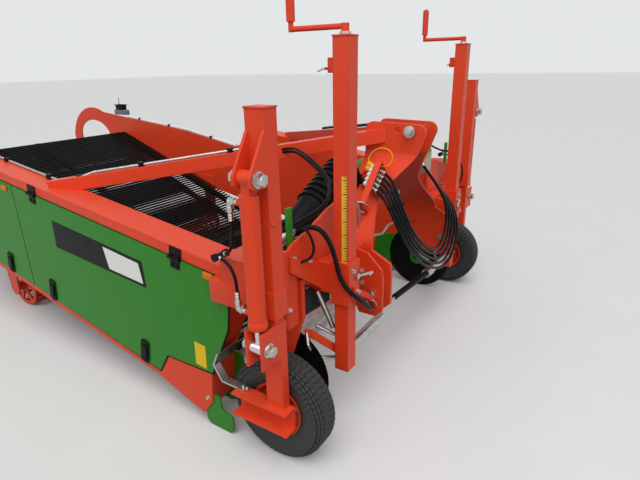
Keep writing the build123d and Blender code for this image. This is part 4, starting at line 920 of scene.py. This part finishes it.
class HARVESTER_OT_depth_posts(bpy.types.Operator):
    """Adds the cylinders' bolts and glands, the posts' plugs and the scrapers' bolts"""
    bl_idname = "harvester.depth_posts"
    bl_label = "Depth posts"

    def execute(self, context):
        across = context.scene.harvester_sizes.bolt_across * 1000
        for side, sign in SIDES.items():
            y = sign * CYLINDER_Y
            for name, z, body in (("top", 1086, "frame"), ("foot", 545, f"{side}_leg")):
                mesh = bmesh.new()
                for out in (1, -1):
                    hex_bolt(mesh, mm(POST_X + out * 35.2, y, z), AHEAD * out, across * 1.75)
                new_piece(f"{side}_cylinder_{name}_bolt", mesh, "bright_zinc", body)
            mesh = bmesh.new()
            lathe(mesh, [(22.5, -3), (30.6, -3), (31.2, -2), (31.2, 20), (30.6, 21), (29.2, 21)],
                  mm(POST_X, y, 618), UP, 40)
            new_piece(f"{side}_cylinder_gland", mesh, "powder_coat_orange_red")
            mesh = bmesh.new()
            bar(mesh, mm(80, sign * 1008, 943), mm(86, sign * 1008, 943), 6.5, 20, 5.5)
            bar(mesh, mm(45, sign * 1020, 1010), mm(45, sign * 1026, 1010), 6.5, 20, 5.5)
            new_piece(f"{side}_post_plugs", mesh, "powder_coat_orange_red")
            mesh = bmesh.new()
            bolts(mesh, [(x, sign * 981, 278) for x in (-118, -100)], UP, FLATS_M8)
            new_piece(f"{side}_scraper_bolts", mesh, "bright_zinc", f"{side}_leg")
        return {"FINISHED"}


class HARVESTER_OT_crank_posts(bpy.types.Operator):
    """Adds the posts' scales, teeth, stop pins and clamping levers"""
    bl_idname = "harvester.crank_posts"
    bl_label = "Crank posts"

    TEETH, TOOTH_PITCH, TOOTH_HEIGHT = 9, 8.5, 4.5
    RACK_FOOT = 1380

    def execute(self, context):
        for side, sign in SIDES.items():
            body = f"{side}_crank_post"
            outer_y = sign * (CRANK_Y + CRANK_HALF)
            mesh = bmesh.new()
            block(mesh, (100, outer_y, 675), (121, outer_y + sign * 0.8, 1015))
            new_piece(f"{side}_depth_scale", mesh, "yellow_scale_enamel", body)
            mesh = bmesh.new()
            for tooth in range(self.TEETH):
                z = self.RACK_FOOT + tooth * self.TOOTH_PITCH
                block(mesh, (CRANK_X - CRANK_HALF - 4, sign * (CRANK_Y - 8), z),
                      (CRANK_X - CRANK_HALF, sign * (CRANK_Y + 8), z + self.TOOTH_HEIGHT), edge=0.8)
            new_piece(f"{side}_post_rack", mesh, "powder_coat_orange_red", body)
            mesh = bmesh.new()
            bar(mesh, mm(30, sign * (CRANK_Y - 24), 1366), mm(30, sign * (CRANK_Y + 28), 1366), 4.5, 12)
            bar(mesh, mm(30, sign * (CRANK_Y + 28), 1366), mm(8, sign * (CRANK_Y + 28), 1358), 3.0, 12)
            bar(mesh, mm(CRANK_X, sign * CRANK_Y, 1467.5), mm(CRANK_X, sign * CRANK_Y, 1476), 19.0, 6)
            new_piece(f"{side}_stop_pin", mesh, "bright_zinc", body)
            mesh = bmesh.new()
            bolts(mesh, [(CRANK_X + 40.2, sign * (CRANK_Y + 12), z) for z in (560, 660)], AHEAD, FLATS_M8)
            hub, end = mm(CRANK_X + 42, sign * 603, 634), mm(162, sign * 520, 622)
            bar(mesh, hub - AHEAD * 0.002, hub + AHEAD * 0.012, 11.0, 24)
            bar(mesh, hub + AHEAD * 0.006, end, 4.5, 12, 6.0)
            bar(mesh, end, end + Vector((0.002, sign * 0.024, -0.004)), 7.0, 16, 3.0)
            new_piece(f"{side}_sleeve_lever", mesh, "bright_zinc")
        return {"FINISHED"}


class HARVESTER_OT_headstock(bpy.types.Operator):
    """Adds the couplers' nuts and caps, the linkage pins' heads and rings, and the headstock's brackets"""
    bl_idname = "harvester.headstock"
    bl_label = "Headstock"

    CAP_FINISHES = ("black_polypropylene", "red_polyethylene", "red_polyethylene", "yellow_polyethylene",
                    "yellow_polyethylene")
    SLEEVE = [(10.1, 12), (12.2, 13), (12.2, 18), (11.6, 19), (11.6, 26), (12.2, 27), (12.2, 31), (10.1, 32)]
    CAP = [(10.1, -11), (14, -11), (14.4, -9), (13.4, -7), (13.4, 9), (12.4, 12), (0, 13)]
    NUT_AT, CAP_AT, TETHER_AT = 0.030, 0.074, 0.076     # along a coupler from its hose's end
    COLLAR = [(12.75, 12.5), (25.5, 12.5), (26.0, 13.5), (25.0, 16.5), (12.75, 17.0)]
    PIN_END = [(9.0, 37.0), (12.8, 37.0), (11.5, 39.5), (0, 39.8)]
    BRACKET = [(0, -345, 842), (0, -282, 809), (0, -272, 775), (0, -314, 742), (0, -336, 722)]
    BRACKET_LIP = [(0, -345, 842), (0, -282, 809), (26, -282, 809), (26, -345, 842)]
    RING_RADIUS, WIRE_RADIUS = 0.021, 0.002
    WING_BOLTS = ((798, 742), (700, 694))

    def execute(self, context):
        self.couplers()
        self.top_pin()
        self.link_pins()
        self.brackets()
        return {"FINISHED"}

    def couplers(self):
        caps = {name: bmesh.new() for name in dict.fromkeys(self.CAP_FINISHES)}
        sleeves, nuts = bmesh.new(), bmesh.new()
        for number, cap_finish in enumerate(self.CAP_FINISHES):
            route = strand(number)
            away = (route[0] - route[1]).normalized()
            start = route[0] + away * self.NUT_AT
            lathe(nuts, [(9.8, 0), (12.6, 1), (12.6, 10), (9.8, 11)], start, away, 6)
            lathe(sleeves, self.SLEEVE, start, away, 28)
            end = route[0] + away * self.CAP_AT
            lathe(caps[cap_finish], self.CAP, end, away, 28)
        for name, mesh in caps.items():
            new_piece(f"coupler_caps_{name.split('_')[0]}", mesh, name)
        new_piece("coupler_nuts", nuts, "bright_zinc")
        new_piece("coupler_sleeves", sleeves, "white_polyethylene")
        start, second = (route[0] + (route[0] - route[1]).normalized() * self.TETHER_AT
                         for route in (strand(4), strand(3)))
        between = [(-62, -132, 972), (-46, -130, 1008), (-6, -130, 1032), (44, -132, 1028), (64, -134, 992),
                   (42, -138, 952), (0, -146, 952), (-34, -152, 962), (-58, -156, 948)]
        loop = [start] + [mm(*point) for point in between] + [second]
        tether = spline_piece("cap_tether", loop, 2.2, "yellow_polyethylene")

    def top_pin(self):
        x, z = TOP_PIN
        mesh = bmesh.new()
        for sign in SIDES.values():
            foot = mm(x, sign * MAST_Y, z)
            lathe(mesh, self.COLLAR, foot, LEFT * sign, 36)
            bar(mesh, mm(x, sign * 92, z), mm(x, sign * 104, z), 19.5, 6)
            lathe(mesh, self.PIN_END, foot, LEFT * sign, 24)
        new_piece("top_pin_collars", mesh, "bright_zinc")

    def link_pins(self):
        x, z = LINK_PIN
        for side, sign in SIDES.items():
            mesh = bmesh.new()
            out = LEFT * sign
            end = mm(x, sign * (LINK_OUT_Y + 13), z)
            bar(mesh, end, end + out * 0.012, 9.0, 20, 7.0)
            y = sign * (LINK_OUT_Y + 12)
            bar(mesh, mm(x, y, z + 24), mm(x, y, z - 22), 3.2, 12)
            new_piece(f"{side}_link_pin_end", mesh, "bright_zinc")
            self.ring(side, mm(x + 8, sign * (LINK_OUT_Y + 19), z - 26))
            mesh = bmesh.new()
            bolts(mesh, [(x - 52, sign * (LINK_OUT_Y + 0.3), z + rise) for rise in (44, 96)], out, FLATS_M12)
            bolts(mesh, [(114, sign * 379.3, 467), (39, sign * 379.3, 232)], out, FLATS_M12)
            new_piece(f"{side}_link_plate_bolts", mesh, "bright_zinc")

    def ring(self, side, centre):
        """The spring ring of a linch pin, a round wire closed in a circle."""
        mesh = bmesh.new()
        axis = Matrix.Rotation(radians(24), 3, "X") @ LEFT
        middle = centre + axis.orthogonal().normalized() * self.RING_RADIUS
        radial = middle - centre
        # The wire's round section lies in the plane of the ring's axis and its radius
        turn = Matrix((radial.normalized(), axis, axis.cross(radial).normalized())).transposed().to_4x4()
        wire = bmesh.ops.create_circle(
            mesh, segments=10, radius=self.WIRE_RADIUS, matrix=Matrix.Translation(middle) @ turn)["verts"]
        edges = list({e for v in wire for e in v.link_edges})
        bmesh.ops.spin(mesh, geom=wire + edges, cent=centre, axis=axis, angle=2 * pi, steps=36,
                       use_merge=True, use_duplicate=False)
        new_piece(f"{side}_linch_ring", mesh, "bright_zinc")

    def brackets(self):
        """The zinc bracket on the right splayed plate and the bolts on the wings."""
        mesh = bmesh.new()
        plate(mesh, self.BRACKET, (5, 0, 0), 5.0)
        plate(mesh, self.BRACKET_LIP, (0, -1.8, -3.6), 3.0)
        bolts(mesh, [(5, -306, 786)], AHEAD, FLATS_M8)
        new_piece("splay_bracket", mesh, "bright_zinc")
        mesh = bmesh.new()
        for sign in SIDES.values():
            bolts(mesh, [(0.3, sign * y, z) for y, z in self.WING_BOLTS], AHEAD, FLATS_WHEEL)
            bolts(mesh, [(0.3, sign * 838, 560)], AHEAD, FLATS_M8)
        new_piece("wing_bolts", mesh, "bright_zinc")


class HARVESTER_OT_beam_parts(bpy.types.Operator):
    """Hangs the aprons, guide straps, stays and rods on the main beam"""
    bl_idname = "harvester.beam_parts"
    bl_label = "Beam parts"

    APRON = [(-30, 740, 566), (-30, 745, 466), (-30, 519, 451), (-30, 519, 566)]
    BENT_STRAP = [(-34, 706, 408), (-14, 688, 404), (56, 614, 318)]
    FRONT_STRAP = [(142, 631, 602), (142, 437, 475)]
    # Each stay's places and its radius
    STAYS = [
        ([(0, 661, 562), (50, 627, 400)], 11.0), ([(-6, 664, 410), (54, 617, 362)], 7.0),
        ([(-24, 706, 392), (-6, 722, 350), (0, 699, 303), (6, 657, 262), (40, 604, 246)], 7.0),
    ]
    CROSS_ROD = [(-52, -150, 622), (-30, -140, 621), (-30, -32, 598), (-30, 35, 620), (-28, 131, 616),
                 (-20, 276, 590), (-20, 526, 505), (-52, 540, 505)]

    def execute(self, context):
        aprons, straps, rods, strips = bmesh.new(), bmesh.new(), bmesh.new(), bmesh.new()
        for sign in SIDES.values():
            plate(aprons, mirrored(self.APRON, sign), (-4, 0, 0))
            strap(straps, mirrored(self.BENT_STRAP, sign), (0, 0, -42), (4.4, sign * 4.1, 0))
            strap(straps, mirrored(self.FRONT_STRAP, sign), (0, 0, -26), (8, 0, 0))
            for places, radius in self.STAYS:
                tube_run(rods, mirrored(places, sign), radius)
            bolts(rods, [(150, sign * 610, 575)], AHEAD, FLATS_M8)
            block(strips, (-24, sign * 784, 783), (-12, sign * 812, 925), edge=1.5)
        tube_run(rods, self.CROSS_ROD, 6.0)
        new_piece("rubber_aprons", aprons, "apron_rubber")
        new_piece("guide_straps", straps, "powder_coat_orange_red", bevel=1.5)
        new_piece("stays_and_rods", rods, "bright_zinc")
        new_piece("post_strips", strips, "powder_coat_green")
        mesh = bmesh.new()
        bar(mesh, mm(101, 292, 300), mm(64, -66, 292), 15.0, 24)
        new_piece("finder_rubber_sleeve", mesh, "hose_cover", "left_crank_post")
        mesh = bmesh.new()
        tube_run(mesh, [(66, -50, 292), (60, -104, 280), (58, -150, 296), (58, -176, 330)], 7.0)
        bar(mesh, mm(104, 320, 301), mm(98, 262, 299), 23.5, 24)
        new_piece("finder_hook", mesh, "bright_zinc", "left_crank_post")
        return {"FINISHED"}


class HARVESTER_OT_cables(bpy.types.Operator):
    """Lays the cable bundles, the conduits with their clips, and the rear lamp box"""
    bl_idname = "harvester.cables"
    bl_label = "Cables and conduits"

    BRACE_LOOP = [
        (-395, -330, 1010), (-330, -339, 1028), (-240, -384, 1016), (-140, -431, 983), (-50, -491, 951),
        (10, -574, 918), (20, -653, 882), (5, -710, 868), (-14, -758, 852), (-34, -804, 838),
        (-60, -838, 838),
    ]
    SLEEVED = [
        (8, -768, 836), (40, -768, 862), (84, -752, 852), (100, -716, 790), (98, -680, 712), (104, -668, 650),
        (132, -664, 604), (162, -630, 556), (172, -560, 492), (160, -500, 450), (140, -470, 440),
        (130, -459, 438),
    ]
    WING_BRANCH = [(8, -776, 846), (34, -776, 858), (58, -772, 820), (60, -760, 772), (46, -770, 738),
                   (14, -790, 728)]
    LEFT_LOOP = [
        (26, 344, 978), (28, 400, 972), (34, 470, 945), (40, 560, 918), (52, 640, 905), (92, 672, 880),
        (124, 680, 825), (134, 676, 760), (118, 668, 710), (100, 658, 690),
    ]

    def execute(self, context):
        self.conduits()
        self.loops()
        self.lamp_box()
        return {"FINISHED"}

    def conduits(self):
        """Zinc pipes along the ledges and the right brace, held by black clips."""
        turn_off = (-1240, -868, ledge_z(-1240) + 14)
        runs = {
            "right_ledge_pipe": [(x, -862, ledge_z(x) + 7) for x in (-2480, -2000, -1500)] + [turn_off],
            "right_brace_pipe": [turn_off] + [on_brace(-1, share, 7) for share in (0.1, 0.4, 0.66)],
            "left_plate_pipe": [(-3080, 856, 950), (-2760, 856, 918), (-2300, 856, 872), (-1760, 856, 776)],
        }
        clips = bmesh.new()
        for name, points in runs.items():
            mesh = bmesh.new()
            radius, finish_name = 6.0, "bright_zinc"
            if name.startswith("left"):
                radius, finish_name = 11.0, "white_polyethylene"
            tube_run(mesh, points, radius)
            for start, end in zip(points, points[1:]):
                x, y, z = ((a + b) / 2 for a, b in zip(start, end))
                block(clips, (x - 14, y - 11, z - 9), (x + 14, y + 11, z + 12), edge=1.5)
            new_piece(name, mesh, finish_name)
        new_piece("pipe_clips", clips, "black_polypropylene")

    def loops(self):
        """The loop from the right brace to the wing plate, the sleeved cable and the rest."""
        far_bundle = [on_brace(1, 0.42 + 0.08 * step, 9 + 3 * (step % 2)) for step in range(7)]
        second = [(x + 6, y - 4, z + 15) for x, y, z in self.BRACE_LOOP]
        for name, route, radius, length in (
            ("brace_cable_loop", self.BRACE_LOOP, 6.5, 0.80), ("sleeved_cable", self.SLEEVED, 9.0, 0.64),
            ("wing_cable", self.WING_BRANCH, 5.0, 0.19), ("left_post_cable", self.LEFT_LOOP, 5.0, 0.57),
            ("far_brace_cable", far_bundle, 8.0, 0.70), ("brace_cable_loop_2", second, 5.0, 0.80),
        ):
            points = [mm(*point) for point in route]
            piece = spline_piece(name, points, radius, "hose_cover")

    def lamp_box(self):
        """The box on the left plate's rear end, with its aerial."""
        mesh = bmesh.new()
        block(mesh, (-3260, 838, 966), (-3090, 880, 1010), edge=3.0)
        new_piece("rear_box_base", mesh, "grey_polycarbonate")
        mesh = bmesh.new()
        block(mesh, (-3230, 836, 1010), (-3130, 884, 1058), edge=4.0)
        block(mesh, (-3236, 832, 1050), (-3124, 888, 1058), edge=2.0)
        bar(mesh, mm(-3200, 860, 1058), mm(-3200, 860, 1118), 3.0, 12, 2.0)
        new_piece("rear_box", mesh, "black_polypropylene")


class HARVESTER_OT_web(bpy.types.Operator):
    """Makes the web's round bars and the belts' clamps"""
    bl_idname = "harvester.web"
    bl_label = "Web"

    PITCH = 30.0
    HALF_WIDTH = 811.0
    BELTS = (-745, 0, 745)

    def execute(self, context):
        radius = context.scene.harvester_sizes.web_bar * 500
        mesh, clamps = bmesh.new(), bmesh.new()
        for place, along in self.stations():
            right, left = (mm(place.x, y, place.y) for y in (-self.HALF_WIDTH, self.HALF_WIDTH))
            bar(mesh, right, left, radius, 8)
            turn = Matrix.Rotation(-along.angle_signed(Vector((1, 0))), 4, "Y")
            for y in self.BELTS:
                low = (place.x - 9, y - 18, place.y - 7.5)
                block(clamps, low, (place.x + 9, y + 18, place.y + 7.5), turn)
        bars = new_piece("web_round_bars", mesh, "web_bar_steel")
        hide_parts("web_bars")
        new_piece("web_bar_clamps", clamps, "belt_rubber")
        return {"FINISHED"}

    def stations(self):
        """(place, direction) of each bar round the web, in X and Z mm."""
        front, kink, top = (Vector(point) for point in WEB_PATH)
        low, high = (kink - front).normalized(), (top - kink).normalized()
        up_low, up_high = Vector((low.y, -low.x)), Vector((high.y, -high.x))
        mitre = (up_low + up_high) * (WEB_RADIUS / (1 + up_low.dot(up_high)))
        runs = [
            (front + up_low * WEB_RADIUS, kink + mitre), (kink + mitre, top + up_high * WEB_RADIUS),
            (top, up_high), (top - up_high * WEB_RADIUS, kink - mitre),
            (kink - mitre, front - up_low * WEB_RADIUS), (front, -up_low),
        ]
        lengths = [pi * WEB_RADIUS if i in (2, 5) else (b - a).length for i, (a, b) in enumerate(runs)]
        count = round(sum(lengths) / self.PITCH)
        made = []
        for step in range(count):
            left = sum(lengths) * step / count
            run = 0
            while left > lengths[run]:
                left -= lengths[run]
                run += 1
            a, b = runs[run]
            if run in (2, 5):
                turn = Matrix.Rotation(left / WEB_RADIUS, 2)
                out = turn @ b
                made.append((a + out * WEB_RADIUS, Vector((-out.y, out.x))))
            else:
                along = (b - a).normalized()
                made.append((a + along * left, along))
        return made


class HARVESTER_PT_panel(bpy.types.Panel):
    """Buttons for the harvester's finishes and parts"""
    bl_label = "Onion Harvester"
    bl_space_type = "VIEW_3D"
    bl_region_type = "UI"
    bl_category = "Harvester"

    def draw(self, context):
        for group in (context.scene.harvester_colours, context.scene.harvester_sizes):
            for name in type(group).__annotations__:
                self.layout.prop(group, name)
        for operator in OPERATORS:
            self.layout.operator(operator.bl_idname)


OPERATORS = (
    HARVESTER_OT_stage, HARVESTER_OT_hoses, HARVESTER_OT_cables, HARVESTER_OT_finishes, HARVESTER_OT_doors,
    HARVESTER_OT_wheels, HARVESTER_OT_depth_posts, HARVESTER_OT_crank_posts, HARVESTER_OT_headstock,
    HARVESTER_OT_beam_parts, HARVESTER_OT_web,
)
CLASSES = (HarvesterColours, HarvesterSizes) + OPERATORS + (HARVESTER_PT_panel,)


def register():
    for cls in CLASSES:
        bpy.utils.register_class(cls)
    bpy.types.Scene.harvester_colours = bpy.props.PointerProperty(type=HarvesterColours)
    bpy.types.Scene.harvester_sizes = bpy.props.PointerProperty(type=HarvesterSizes)


def unregister():
    del bpy.types.Scene.harvester_sizes
    del bpy.types.Scene.harvester_colours
    for cls in reversed(CLASSES):
        bpy.utils.unregister_class(cls)


def main():
    register()
    for operator in OPERATORS:
        group, name = operator.bl_idname.split(".")
        getattr(getattr(bpy.ops, group), name)()
    bpy.context.view_layer.update()


if __name__ == "__main__":
    main()
